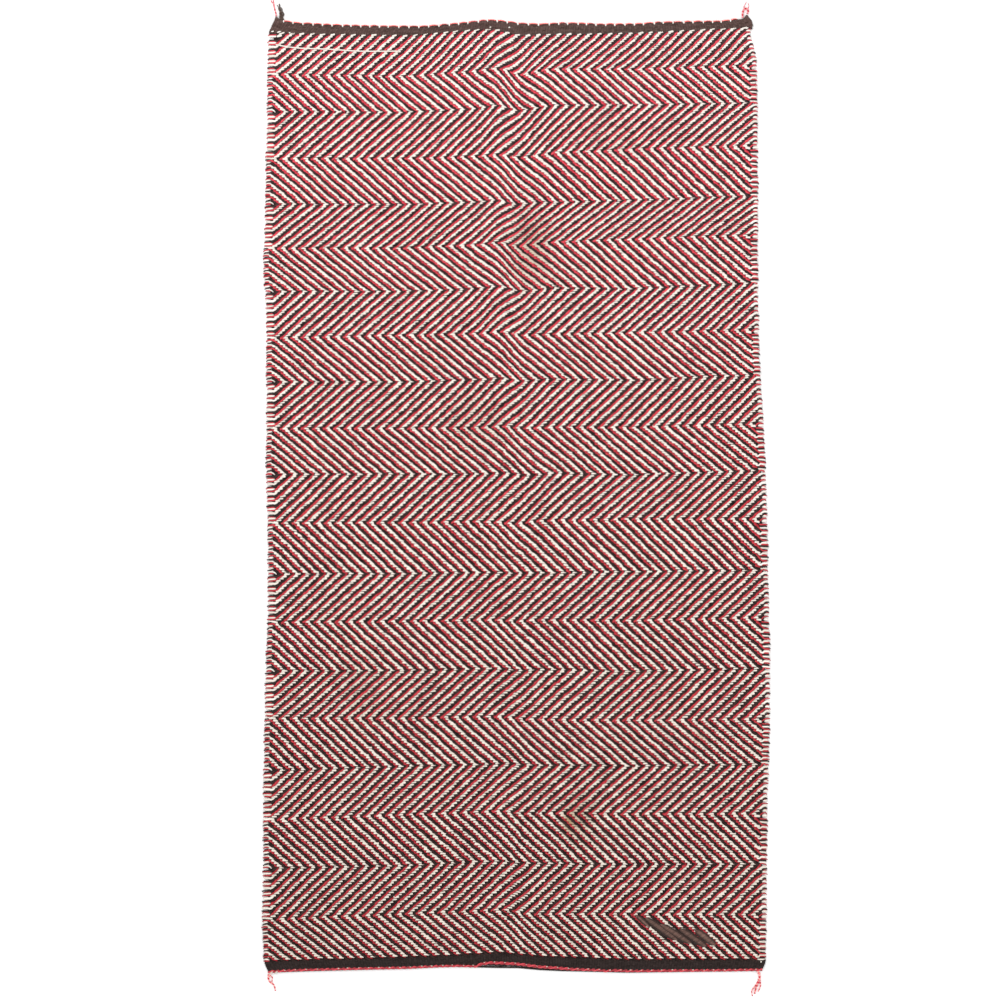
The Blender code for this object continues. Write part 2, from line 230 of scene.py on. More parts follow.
@dataclass(frozen=True)
class FloatShape:
    """Form of one float, in warps across and picks down the cloth.

    A float lies like a shingle: its lower rim is high and covers the yarn below it, and its upper rim
    goes under the float above. The painted shadings are painted shade and highlight at each place, with 1
    for the yarn's own colour: below 1 where a tip or rim lies in shade, above 1 where a crest catches light.
    The gains say how much more a measure is at the blanket's lower end than at its upper end.
    """

    rise_per_warp: float = 1.0
    half_length: float = 1.02
    body_share: float = 0.7
    upper_height: float = 1.9
    lower_height: float = 1.2
    crest: float = 4.7 * MM
    upper_rim: float = 3.7 * MM
    lower_rim: float = 4.2 * MM
    left_tip: float = 3.6 * MM
    right_tip: float = 3.6 * MM
    # Painted shade and highlight at the tips, the crest and the two rims of each float
    left_tone: float = 0.8
    right_tone: float = 0.8
    crest_painted_shading: float = 1.05
    upper_rim_painted_shading: float = 0.8
    lower_rim_painted_shading: float = 0.9
    tone_spread: float = 0.08
    lower_height_gain: float = 0.0
    rise_gain: float = 0.0


@dataclass(frozen=True)
class Stain:
    """A soft spot on the cream yarn, its place and size in millimetres from the middle."""

    across: float
    height: float
    half_width: float
    half_height: float
    strength: float


STAINS = (
    Stain(22, 385, 40, 70, 0.55),
    Stain(98, -500, 26, 48, 0.5),
    Stain(80, -505, 10, 22, 0.8),
    Stain(285, -374, 14, 12, 0.6),
    Stain(-60, 120, 60, 50, 0.25),
    Stain(150, 560, 70, 40, 0.2),
    Stain(-240, -300, 50, 70, 0.22),
)


@dataclass(frozen=True)
class WoolFinish:
    """Colours of a wool yarn at the lower end, middle and upper end of the blanket, and of its painted shade,
    in linear light.
    """

    name: str
    lower: Colour
    middle: Colour
    upper: Colour
    # Painted shade: the colour that a low tone takes the yarn towards, where tips, rims and grooves lie in
    # shade
    painted_shade: Colour = (0.45, 0.4, 0.35)
    stain: Colour = (0.50, 0.36, 0.20)
    fibre_contrast: float = 0.14
    roughness: float = 0.92
    sheen: float = 0.12
    fibre_bump: float = 0.35

    def build(self) -> Material:
        """Return the node material of this yarn.

        Returns:
            A material whose colour runs from end to end of the blanket, with fibres and stains.
        """
        material = bpy.data.materials.new(self.name)
        material.use_nodes = True
        tree = material.node_tree
        shader = tree.nodes["Principled BSDF"]
        shader.inputs["Roughness"].default_value = self.roughness
        shader.inputs["Sheen Weight"].default_value = self.sheen
        shader.inputs["Sheen Roughness"].default_value = 0.5
        shader.inputs["Specular IOR Level"].default_value = 0.15
        coordinates = tree.nodes.new("ShaderNodeTexCoord")
        gradient = self._end_to_end_colour(tree, coordinates)
        fibres = self._fibres(tree, coordinates)
        toned = self._toward_painted_shade(tree, gradient, self._tone(tree, fibres))
        stained = self._stained(tree, toned)
        tree.links.new(stained, shader.inputs["Base Color"])
        bump = tree.nodes.new("ShaderNodeBump")
        bump.inputs["Strength"].default_value = self.fibre_bump
        bump.inputs["Distance"].default_value = 0.3 * MM
        tree.links.new(fibres, bump.inputs["Height"])
        tree.links.new(bump.outputs["Normal"], shader.inputs["Normal"])
        return material

    def _end_to_end_colour(self, tree: Tree, coordinates: bpy.types.Node) -> Socket:
        """Lay the yarn's three colours along the blanket.

        Args:
            tree: The material's nodes.
            coordinates: The node that gives places on the blanket.

        Returns:
            The colour.
        """
        split = tree.nodes.new("ShaderNodeSeparateXYZ")
        tree.links.new(coordinates.outputs["Object"], split.inputs["Vector"])
        share = tree.nodes.new("ShaderNodeMapRange")
        share.inputs["From Min"].default_value = -0.75
        share.inputs["From Max"].default_value = 0.75
        tree.links.new(split.outputs["Y"], share.inputs["Value"])
        ramp = tree.nodes.new("ShaderNodeValToRGB")
        ramp.color_ramp.elements[0].color = (*self.lower, 1.0)
        ramp.color_ramp.elements[1].color = (*self.upper, 1.0)
        middle = ramp.color_ramp.elements.new(0.5)
        middle.color = (*self.middle, 1.0)
        tree.links.new(share.outputs["Result"], ramp.inputs["Fac"])
        return ramp.outputs["Color"]

    def _fibres(self, tree: Tree, coordinates: bpy.types.Node) -> Socket:
        """Draw fine fibres that run across the blanket.

        Args:
            tree: The material's nodes.
            coordinates: The node that gives places on the blanket.

        Returns:
            The fibres' value, around 0.5.
        """
        mapping = tree.nodes.new("ShaderNodeMapping")
        mapping.inputs["Scale"].default_value = (350.0, 1500.0, 900.0)
        tree.links.new(coordinates.outputs["Object"], mapping.inputs["Vector"])
        noise = tree.nodes.new("ShaderNodeTexNoise")
        noise.inputs["Scale"].default_value = 1.0
        noise.inputs["Detail"].default_value = 3.0
        tree.links.new(mapping.outputs["Vector"], noise.inputs["Vector"])
        return noise.outputs["Fac"]

    def _tone(self, tree: Tree, fibres: Socket) -> Socket:
        """Multiply the tone attribute, each float's own tone with its painted shade and highlight, by the
        fibres' light and dark.

        Args:
            tree: The material's nodes.
            fibres: The fibres' value.

        Returns:
            A value around 1.
        """
        spread = tree.nodes.new("ShaderNodeMapRange")
        spread.inputs["From Min"].default_value = 0.3
        spread.inputs["From Max"].default_value = 0.7
        spread.inputs["To Min"].default_value = 1.0 - self.fibre_contrast
        spread.inputs["To Max"].default_value = 1.0 + self.fibre_contrast
        tree.links.new(fibres, spread.inputs["Value"])
        # The tone attribute holds painted shade and highlight as well as each float's own tone
        attribute = tree.nodes.new("ShaderNodeAttribute")
        attribute.attribute_name = "tone"
        product = tree.nodes.new("ShaderNodeMath")
        product.operation = "MULTIPLY"
        tree.links.new(spread.outputs["Result"], product.inputs[0])
        tree.links.new(attribute.outputs["Fac"], product.inputs[1])
        return product.outputs["Value"]

    def _toward_painted_shade(self, tree: Tree, colour: Socket, value: Socket) -> Socket:
        """Take a colour towards its painted shade colour where the tone is low, and brighten it where the
        tone is above 1.

        Args:
            tree: The material's nodes.
            colour: The yarn's colour.
            value: The tone.

        Returns:
            The colour with its tone.
        """
        depth = tree.nodes.new("ShaderNodeMix")
        depth.data_type = "VECTOR"
        depth.clamp_factor = False
        ends = [socket for socket in depth.inputs if socket.type == "VECTOR" and socket.name in ("A", "B")]
        ends[0].default_value = self.painted_shade
        ends[1].default_value = (1.0, 1.0, 1.0)
        tree.links.new(value, depth.inputs["Factor"])
        product = tree.nodes.new("ShaderNodeVectorMath")
        product.operation = "MULTIPLY"
        tree.links.new(colour, product.inputs[0])
        tree.links.new(next(s for s in depth.outputs if s.type == "VECTOR"), product.inputs[1])
        return product.outputs["Vector"]

    def _stained(self, tree: Tree, colour: Socket) -> Socket:
        """Lay the stain over a colour where the cloth is stained.

        Args:
            tree: The material's nodes.
            colour: The yarn's colour.

        Returns:
            The colour with its stains.
        """
        attribute = tree.nodes.new("ShaderNodeAttribute")
        attribute.attribute_name = "stain"
        mix = tree.nodes.new("ShaderNodeMix")
        mix.data_type = "RGBA"
        mix.blend_type = "MULTIPLY"
        next(s for s in mix.inputs if s.name == "B" and s.type == "RGBA").default_value = (*self.stain, 1.0)
        tree.links.new(attribute.outputs["Fac"], mix.inputs["Factor"])
        tree.links.new(colour, next(s for s in mix.inputs if s.name == "A" and s.type == "RGBA"))
        return next(s for s in mix.outputs if s.type == "RGBA")


def table_value(table: Sequence[tuple[float, ...]], place: np.ndarray, column: int = 1) -> np.ndarray:
    """Read a table of millimetres between its rows.

    Args:
        table: Rows that rise in their first column.
        place: Where to read the table, in metres.
        column: Which column to read.

    Returns:
        A value in metres for each place.
    """
    return np.interp(place / MM, [row[0] for row in table], [row[column] for row in table]) * MM


@dataclass
class Outline:
    """The blanket's edges, and how far its middle lies from the origin of the frame."""

    shift_across: float
    shift_height: float

    @classmethod
    def from_frame(cls) -> "Outline":
        """Return the outline laid over the cloth's solid.

        Returns:
            An outline whose shift puts the edge tables over that solid's box.
        """
        low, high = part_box("blanket_cloth")
        lefts = [row[1] * MM for row in SIDE_EDGES]
        rights = [row[2] * MM for row in SIDE_EDGES]
        heights = [row[1] * MM for row in UPPER_END + LOWER_END]
        middle_across = (min(lefts) + max(rights)) / 2
        middle_height = (min(heights) + max(heights)) / 2
        return cls((low.x + high.x) / 2 - middle_across, (low.y + high.y) / 2 - middle_height)

    def left(self, height: np.ndarray) -> np.ndarray:
        """Return the left edge at heights, in metres from the blanket's middle."""
        return table_value(sorted(SIDE_EDGES), height)

    def right(self, height: np.ndarray) -> np.ndarray:
        """Return the right edge at heights, in metres from the blanket's middle."""
        return table_value(sorted(SIDE_EDGES), height, 2)

    def upper(self, across: np.ndarray) -> np.ndarray:
        """Return the upper end's height at places across, in metres from the middle."""
        return table_value(UPPER_END, across)

    def lower(self, across: np.ndarray) -> np.ndarray:
        """Return the lower end's height at places across, in metres from the middle."""
        return table_value(LOWER_END, across)

    def cord_lift(self, across: np.ndarray) -> np.ndarray:
        """Return how far the lower cord lies above the cloth's very edge, in metres."""
        return table_value(CORD_LIFT, across)

    def cord_rise(self, across: np.ndarray) -> np.ndarray:
        """Return how much the lower cord rises where it leaves the edge and lies on the band, in metres."""
        return np.clip(self.cord_lift(across) / (4 * MM), 0.0, 1.0) * 2.6 * MM

    def ripple(self, across: np.ndarray, height: np.ndarray) -> np.ndarray:
        """Lift the side edges off the ground in slow waves, as in the solid.

        Args:
            across: Places across, in metres from the blanket's middle.
            height: Places up the blanket's length, in metres from its middle.

        Returns:
            The lift at each place, in metres.
        """
        inset = np.minimum(across - self.left(height), self.right(height) - across)
        side = np.clip(1.0 - inset / (60 * MM), 0.0, 1.0)
        end_inset = np.minimum(740 * MM - height, height + 732 * MM)
        end = np.clip(1.0 - end_inset / (60 * MM), 0.0, 1.0)
        wave = 0.5 + 0.5 * np.sin(2 * math.pi * height / (210 * MM) + 7 * across)
        return 1.5 * MM * wave * side**2 * (1 - end)

    def in_frame(self, across: np.ndarray, height: np.ndarray, up: np.ndarray) -> np.ndarray:
        """Return points of the frame.

        Args:
            across: Places across, in metres from the blanket's middle.
            height: Places up the blanket's length, in metres from its middle.
            up: Heights above the cloth's own ground, in metres.

        Returns:
            An array with a row of x, y and z for each point.
        """
        lifted = up + self.ripple(across, height)
        return np.stack([across + self.shift_across, height + self.shift_height, lifted], axis=-1)

    def point(self, across: float, height: float, up: float) -> Vector:
        """Return one point of the frame; all three are in metres, as for in_frame."""
        return Vector(self.in_frame(np.array([across]), np.array([height]), np.array([up]))[0])

    def on_ground(self, across: float, height: float, level: float) -> Vector:
        """Return one point beside the cloth; its place is in millimetres, its level in metres."""
        return Vector((across * MM + self.shift_across, height * MM + self.shift_height, level))


@dataclass
class WeaveGrid:
    """Where each warp and pick of the cloth lies."""

    outline: Outline
    warps: int = 188
    first_count: int = 9
    wander: float = 0.5 * MM
    samples_per_warp: int = 2
    smoothing_warps: int = 2
    line_picks: np.ndarray = field(init=False)
    line_heights: np.ndarray = field(init=False)
    line_shares: np.ndarray = field(init=False)

    def __post_init__(self) -> None:
        """Work out the heights of the turns, and how far across they lie, at close steps."""
        steps = self.warps * self.samples_per_warp + 1
        shares = np.linspace(0.0, 1.0, steps)
        top = self._end_line(UPPER_END, shares)
        picks = [-TURN_LINES[0][0]]
        heights = [top[0]]
        for row in TURN_LINES:
            picks.append(picks[-1] + row[0])
            middle = np.mean(row[1:]) * MM
            left = self.outline.left(middle)
            across = left + shares * (self.outline.right(middle) - left)
            line = np.interp(across / MM, TURN_STATIONS, row[1:]) * MM
            heights.append(self._smoothed(line))
        bottom = self._end_line(LOWER_END, shares)
        picks.append(picks[-1] + LOWER_BAND_PICKS)
        heights.append(bottom[0])
        self.line_picks = np.array(picks, dtype=float)
        self.line_heights = np.array(heights)
        self.line_shares = np.tile(shares, (len(picks), 1))
        self.line_shares[0] = top[1]
        self.line_shares[-1] = bottom[1]

    def _end_line(self, table: tuple[Place, ...], shares: np.ndarray) -> Arrays:
        """Return the heights of an end of the cloth, and its places as shares of the width there.

        Args:
            table: The end's corners, in millimetres.
            shares: Even steps from the left warp to the right one.

        Returns:
            The heights in metres, and for each the share of the way from the left edge to the right.
        """
        across = (table[0][0] + shares * (table[-1][0] - table[0][0])) * MM
        heights = table_value(table, across)
        left = self.outline.left(heights)
        return heights, (across - left) / (self.outline.right(heights) - left)

    def _smoothed(self, line: np.ndarray) -> np.ndarray:
        """Round a line's corners over a few warps.

        Args:
            line: Heights at even steps across.

        Returns:
            The smoother heights.
        """
        reach = self.smoothing_warps * self.samples_per_warp
        padded = np.pad(line, reach, mode="edge")
        weights = np.hanning(2 * reach + 3)[1:-1]
        return np.convolve(padded, weights / weights.sum(), mode="valid")

    @property
    def twill_picks(self) -> int:
        """Number of picks in the twill."""
        return int(self.line_picks[-2])

    def counts(self) -> np.ndarray:
        """Work out the weave's count, which rises by one a pick in a rising band and falls in the other.

        Returns:
            A whole number for each pick, which tells its yarn and where its floats lie.
        """
        steps = []
        for band, row in enumerate(TURN_LINES[1:]):
            steps += [1 if band % 2 == 0 else -1] * row[0]
        return self.first_count + np.concatenate([[0], np.cumsum(steps)[:-1]])

    def slants(self) -> np.ndarray:
        """Tell which way the stripes run at each pick.

        Returns:
            1 for each pick of a rising band, and -1 for each of a falling one.
        """
        signs = []
        for band, row in enumerate(TURN_LINES[1:]):
            signs += [Slant.RISING.value if band % 2 == 0 else Slant.FALLING.value] * row[0]
        return np.array(signs)

    def place(self, pick: np.ndarray, warp: np.ndarray) -> Arrays:
        """Return where points of the weave lie.

        Args:
            pick: Picks below the first line of the twill, which may be parts of a pick.
            warp: Warps from the left edge, which may be parts of a warp.

        Returns:
            The places across and the heights, in metres from the blanket's middle.
        """
        line = np.clip(np.searchsorted(self.line_picks, pick, side="right") - 1, 0, len(self.line_picks) - 2)
        start = self.line_picks[line]
        share_down = (pick - start) / (self.line_picks[line + 1] - start)
        position = np.clip(warp, 0, self.warps) * self.samples_per_warp
        left_sample = np.clip(position.astype(int), 0, self.line_heights.shape[1] - 2)
        part = position - left_sample
        values = []
        for table in (self.line_heights, self.line_shares):
            above = table[line, left_sample] * (1 - part) + table[line, left_sample + 1] * part
            below = table[line + 1, left_sample] * (1 - part) + table[line + 1, left_sample + 1] * part
            values.append(above + share_down * (below - above))
        height, share_across = values
        share_across = share_across + (warp - np.clip(warp, 0, self.warps)) / self.warps
        left = self.outline.left(height)
        across = left + share_across * (self.outline.right(height) - left)
        sway_across = np.sin(0.11 * pick + 0.35 * warp) + np.sin(0.047 * pick - 0.23 * warp + 2.0)
        sway_across += 0.8 * np.sin(0.31 * pick + 0.9 * warp + 1.0)
        sway_along = np.sin(0.19 * warp + 0.03 * pick) + 0.9 * np.sin(0.57 * warp - 0.21 * pick + 4.0)
        sway_along += 0.8 * np.sin(1.13 * warp + 0.13 * pick + 0.5)
        return across + self.wander * 0.5 * sway_across, height + self.wander * 0.45 * sway_along


class ClothPiece:
    """Builds one mesh object of the blanket from arrays of points."""

    @staticmethod
    def make(
        name: str,
        points: np.ndarray,
        triangles: np.ndarray,
        tone: np.ndarray,
        material: Material,
        slot: str,
        stain: np.ndarray | None = None,
    ) -> Piece:
        """Make a mesh piece that rides on the blanket.

        Args:
            name: Name of the piece.
            points: A row of x, y and z for each point, in the frame.
            triangles: A row of three point numbers for each triangle.
            tone: Brightness at each point, around 1: the yarn's own tone with painted shade and highlight.
            material: Finish of the piece.
            slot: Material slot of the record that the finish belongs to; not used.
            stain: Strength of the stain at each point, from 0 to 1.

        Returns:
            The finished piece.
        """
        mesh = bpy.data.meshes.new(name)
        mesh.vertices.add(len(points))
        mesh.vertices.foreach_set("co", points.astype(np.float32).ravel())
        mesh.loops.add(len(triangles) * 3)
        mesh.loops.foreach_set("vertex_index", triangles.astype(np.int32).ravel())
        mesh.polygons.add(len(triangles))
        mesh.polygons.foreach_set("loop_start", np.arange(len(triangles), dtype=np.int32) * 3)
        mesh.polygons.foreach_set("use_smooth", np.ones(len(triangles), dtype=bool))
        mesh.update(calc_edges=True)
        # The tone attribute carries painted shade and highlight along with the yarn's own tone
        mesh.attributes.new("tone", "FLOAT", "POINT").data.foreach_set("value", tone.astype(np.float32))
        marks = np.zeros(len(points)) if stain is None else stain
        mesh.attributes.new("stain", "FLOAT", "POINT").data.foreach_set("value", marks.astype(np.float32))
        ClothPiece.lay_bake_map(mesh, points, triangles)
        mesh.materials.append(material)
        mesh.validate()
        piece = bpy.data.objects.new(name, mesh)
        bpy.context.scene.collection.objects.link(piece)
        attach(piece, "root")
        return piece

    @staticmethod
    def lay_bake_map(mesh: bpy.types.Mesh, points: np.ndarray, triangles: np.ndarray) -> None:
        """Lay a flat texture map over the piece, as seen from above.

        Args:
            mesh: The piece's mesh.
            points: Its points.
            triangles: Its triangles.
        """
        low = points.min(axis=0)
        size = np.maximum(points.max(axis=0) - low, 1 * MM)
        flat = ((points - low) / size)[:, :2] * 0.98 + 0.01
        layer = mesh.uv_layers.new(name="OFBake")
        layer.data.foreach_set("uv", flat[triangles.ravel()].astype(np.float32).ravel())


def shifted(triangles: np.ndarray, copies: int, points_each: int) -> np.ndarray:
    """Return the triangles of many copies of one form.

    Args:
        triangles: The form's triangles.
        copies: How many copies there are.
        points_each: Points in one copy.

    Returns:
        All the triangles, one copy after the other.
    """
    offsets = np.arange(copies) * points_each
    return (triangles[None, :, :] + offsets[:, None, None]).reshape(-1, 3)


class Side(Enum):
    """The two sides of the blanket."""

    LEFT = 0
    RIGHT = 1


@dataclass(frozen=True)
class SideTurn:
    """A turn of weft at a side: its yarn, its place in picks below its group's, and its radius in mm."""

    yarn: Yarn
    below: float
    radius: float
    is_joined: bool = False


@dataclass(frozen=True)
class TurnPattern:
    """The turns that show at one side of a band, for every stripe of red that ends there.

    The stripes end so many warps from the edge, and the shift is how many picks the first group of turns
    lies below the end of the red stripe. The second group lies half way up to the next red stripe.
    """

    stripe_warps: int
    shift: float
    at_red_stripe: tuple[SideTurn, ...]
    half_way_up: tuple[SideTurn, ...]


TURN_PATTERNS = {
    (Side.LEFT, Slant.RISING): TurnPattern(
        stripe_warps=3,
        shift=0.3,
        at_red_stripe=(
            SideTurn(Yarn.RED, 0.0, 1.15, True),
            SideTurn(Yarn.PALE, 3.2, 2.0, True),
        ),
        half_way_up=(
            SideTurn(Yarn.DARK, 0.4, 1.35, True),
            SideTurn(Yarn.RED, 1.8, 0.95),
            SideTurn(Yarn.PALE, 3.8, 1.7),
        ),
    ),
    (Side.LEFT, Slant.FALLING): TurnPattern(
        stripe_warps=2,
        shift=0.0,
        at_red_stripe=(
            SideTurn(Yarn.DARK, -0.5, 1.35),
            SideTurn(Yarn.RED, 1.4, 1.25, True),
            SideTurn(Yarn.PALE, 3.4, 1.5),
        ),
        half_way_up=(
            SideTurn(Yarn.DARK, -0.4, 1.15, True),
            SideTurn(Yarn.PALE, 1.4, 1.3, True),
            SideTurn(Yarn.RED, 3.3, 1.3),
        ),
    ),
    (Side.RIGHT, Slant.RISING): TurnPattern(
        stripe_warps=2,
        shift=-0.2,
        at_red_stripe=(
            SideTurn(Yarn.RED, 0.0, 1.15, True),
            SideTurn(Yarn.PALE, 3.1, 2.0, True),
        ),
        half_way_up=(
            SideTurn(Yarn.DARK, -0.3, 1.4, True),
            SideTurn(Yarn.RED, 1.2, 0.8),
            SideTurn(Yarn.PALE, 3.2, 1.8),
        ),
    ),
    (Side.RIGHT, Slant.FALLING): TurnPattern(
        stripe_warps=3,
        shift=2.0,
        at_red_stripe=(
            SideTurn(Yarn.DARK, -0.7, 0.85),
            SideTurn(Yarn.RED, 0.6, 1.35, True),
            SideTurn(Yarn.PALE, 3.3, 1.8, True),
        ),
        half_way_up=(
            SideTurn(Yarn.RED, -0.5, 1.25),
            SideTurn(Yarn.DARK, 1.2, 1.5),
            SideTurn(Yarn.PALE, 3.6, 1.6),
        ),
    ),
}


@dataclass
class TwillFace:
    """One face of the twill: a bead of yarn for every float that shows on it."""

    grid: WeaveGrid
    face: Face
    finishes: dict[Yarn, Material]
    shapes: dict[tuple[Yarn, Slant], FloatShape]
    place_spread: float = 0.1
    length_spread: float = 0.13
    rise_spread: float = 0.16
    level_spread: float = 0.16 * MM
    swell: float = 0.12

    # A bead with a ridge: two tips, two points on its upper rim, two on its crest, two on its lower rim
    RIDGED = np.array(
        [[0, 6, 4], [0, 4, 2], [6, 7, 5], [6, 5, 4], [4, 5, 3], [4, 3, 2], [7, 1, 5], [5, 1, 3]]
    )
    # A plain bead for the face on the ground: two tips, one point on each rim, one on its crest
    PLAIN = np.array([[0, 3, 4], [0, 4, 2], [3, 1, 4], [4, 1, 2]])

    def build(self) -> list[Piece]:
        """Build the pieces of this face, one for each yarn.

        Returns:
            The pieces, in the order of the yarns.
        """
        counts = self.grid.counts()
        slants = self.grid.slants()
        pieces = []
        for yarn in Yarn:
            picks, warps = self._floats_of(yarn, counts, slants)
            points, tone = self._beads(yarn, picks, warps, slants[picks])
            form = self.RIDGED if self.face is Face.FRONT else self.PLAIN[:, ::-1]
            triangles = shifted(form, len(picks), points.shape[1])
            flat_points = points.reshape(-1, 3)
            stain = self._stains(flat_points) if yarn is Yarn.PALE else None
            name = f"twill_{self.face.name.lower()}_{yarn.name.lower()}"
            finish = self.finishes[yarn]
            pieces.append(
                ClothPiece.make(name, flat_points, triangles, tone.ravel(), finish, "twill_wool", stain)
            )
        return pieces

    def _floats_of(self, yarn: Yarn, counts: np.ndarray, slants: np.ndarray) -> Arrays:
        """Find the floats of a yarn that show on this face.

        Args:
            yarn: The yarn.
            counts: The weave's count at each pick.
            slants: Which way the stripes run at each pick.

        Returns:
            The pick of each float, and the warp at its middle.
        """
        picks = []
        warps = []
        behind = 0 if self.face is Face.FRONT else 2
        for pick in np.flatnonzero(counts % 3 == yarn.value):
            first = (counts[pick] + behind) % 4
            row = np.arange(first, self.grid.warps + 1, 4)
            slant = Slant(int(slants[pick]))
            left = TURN_PATTERNS[(Side.LEFT, slant)].stripe_warps
            right = self.grid.warps - TURN_PATTERNS[(Side.RIGHT, slant)].stripe_warps
            row = row[(row > left) & (row < right)]
            picks.append(np.full(len(row), pick))
            warps.append(row)
        return np.concatenate(picks), np.concatenate(warps)

    def _beads(self, yarn: Yarn, picks: np.ndarray, warps: np.ndarray, slants: np.ndarray) -> Arrays:
        """Shape a bead of yarn for each float.

        Args:
            yarn: The yarn.
            picks: The pick of each float.
            warps: The warp at its middle.
            slants: Which way its stripe runs.

        Returns:
            The points of the beads and the tone at each point, painted shade and highlight included, with a
            row for each float.
        """
        random_source = np.random.default_rng(SEED + yarn.value + 10 * (self.face is Face.BACK))
        count = len(picks)
        values = {
            key: np.where(
                slants == Slant.RISING.value,
                getattr(self.shapes[(yarn, Slant.RISING)], key),
                getattr(self.shapes[(yarn, Slant.FALLING)], key),
            )
            for key in FloatShape.__dataclass_fields__
        }
        share_down = picks / self.grid.twill_picks
        middle_pick = picks + 0.5 + random_source.normal(0, self.place_spread, count)
        middle_warp = warps + random_source.normal(0, self.place_spread, count)
        stretch = random_source.uniform(1 - self.length_spread, 1 + self.length_spread, count)
        length = values["half_length"] * stretch
        thickness = self._yarn_thickness(picks, warps, random_source)
        upper = values["upper_height"] * thickness
        lower = (values["lower_height"] + values["lower_height_gain"] * share_down) + (thickness - 1) * 1.6
        down_per_warp = -slants * (values["rise_per_warp"] + values["rise_gain"] * share_down)
        down_per_warp *= random_source.normal(1.0, self.rise_spread, count)
        lift = np.clip(random_source.normal(0.0, self.level_spread, count), -0.4 * MM, 0.4 * MM)
        body = length * values["body_share"]
        own_tone = random_source.normal(1.0, values["tone_spread"])
        if self.face is Face.FRONT:
            # Place along, place below, level, painted shading, and how much of the left and right painted
            # shading it takes
            corners = (
                (-length, 0, "left_tip", "crest_painted_shading", 1.0, 0.0),
                (length, 0, "right_tip", "crest_painted_shading", 0.0, 1.0),
                (-body, -upper, "upper_rim", "upper_rim_painted_shading", 0.4, 0.0),
                (body, -upper, "upper_rim", "upper_rim_painted_shading", 0.0, 0.8),
                (-body, 0, "crest", "crest_painted_shading", 0.3, 0.0),
                (body, 0, "crest", "crest_painted_shading", 0.0, 0.4),
                (-body, lower, "lower_rim", "lower_rim_painted_shading", 0.6, 0.0),
                (body, lower, "lower_rim", "lower_rim_painted_shading", 0.0, 0.3),
            )
        else:
            corners = (
                (-length, 0, "left_tip", "crest_painted_shading", 1.0, 0.0),
                (length, 0, "right_tip", "crest_painted_shading", 0.0, 1.0),
                (0 * length, -upper, "upper_rim", "upper_rim_painted_shading", 0.3, 0.3),
                (0 * length, lower, "lower_rim", "lower_rim_painted_shading", 0.3, 0.3),
                (0 * length, 0, "crest", "crest_painted_shading", 0.1, 0.1),
            )
        points = np.empty((count, len(corners), 3))
        tone = np.empty((count, len(corners)))
        for index, (along, below, level, part, left_share, right_share) in enumerate(corners):
            pick = middle_pick + below + down_per_warp * along
            x, y = self.grid.place(pick, middle_warp + along)
            up = values[level] + lift * (self.face is Face.FRONT)
            points[:, index] = self.grid.outline.in_frame(x, y, up)
            # Painted shade and highlight: each corner takes a share of the left and right end's painted
            # shading
            left = 1 + left_share * (values["left_tone"] - 1)
            right = 1 + right_share * (values["right_tone"] - 1)
            tone[:, index] = own_tone * left * right * values[part]
        return points, tone

    def _yarn_thickness(
        self, picks: np.ndarray, warps: np.ndarray, source: np.random.Generator
    ) -> np.ndarray:
        """Swell and thin the yarn along each pick, as hand-spun yarn does.

        Args:
            picks: The pick of each float.
            warps: The warp at its middle.
            source: Gives each pick and float its own thickness.

        Returns:
            A share of the yarn's thickness for each float, around 1.
        """
        wave = source.uniform(0.12, 0.6, self.grid.twill_picks)[picks]
        start = source.uniform(0.0, 2 * math.pi, self.grid.twill_picks)[picks]
        return 1 + self.swell * np.sin(wave * warps + start) + source.normal(0, 0.06, len(picks))

    def _stains(self, points: np.ndarray) -> np.ndarray:
        """Work out how stained each point is.

        Args:
            points: A row of x, y and z for each point.

        Returns:
            The stain's strength at each point, from 0 to 1.
        """
        across = (points[:, 0] - self.grid.outline.shift_across) / MM
        height = (points[:, 1] - self.grid.outline.shift_height) / MM
        total = np.zeros(len(points))
        for stain in STAINS:
            distance = ((across - stain.across) / stain.half_width) ** 2
            distance += ((height - stain.height) / stain.half_height) ** 2
            total += stain.strength * np.exp(-1.5 * distance)
        return np.clip(total, 0.0, 1.0)


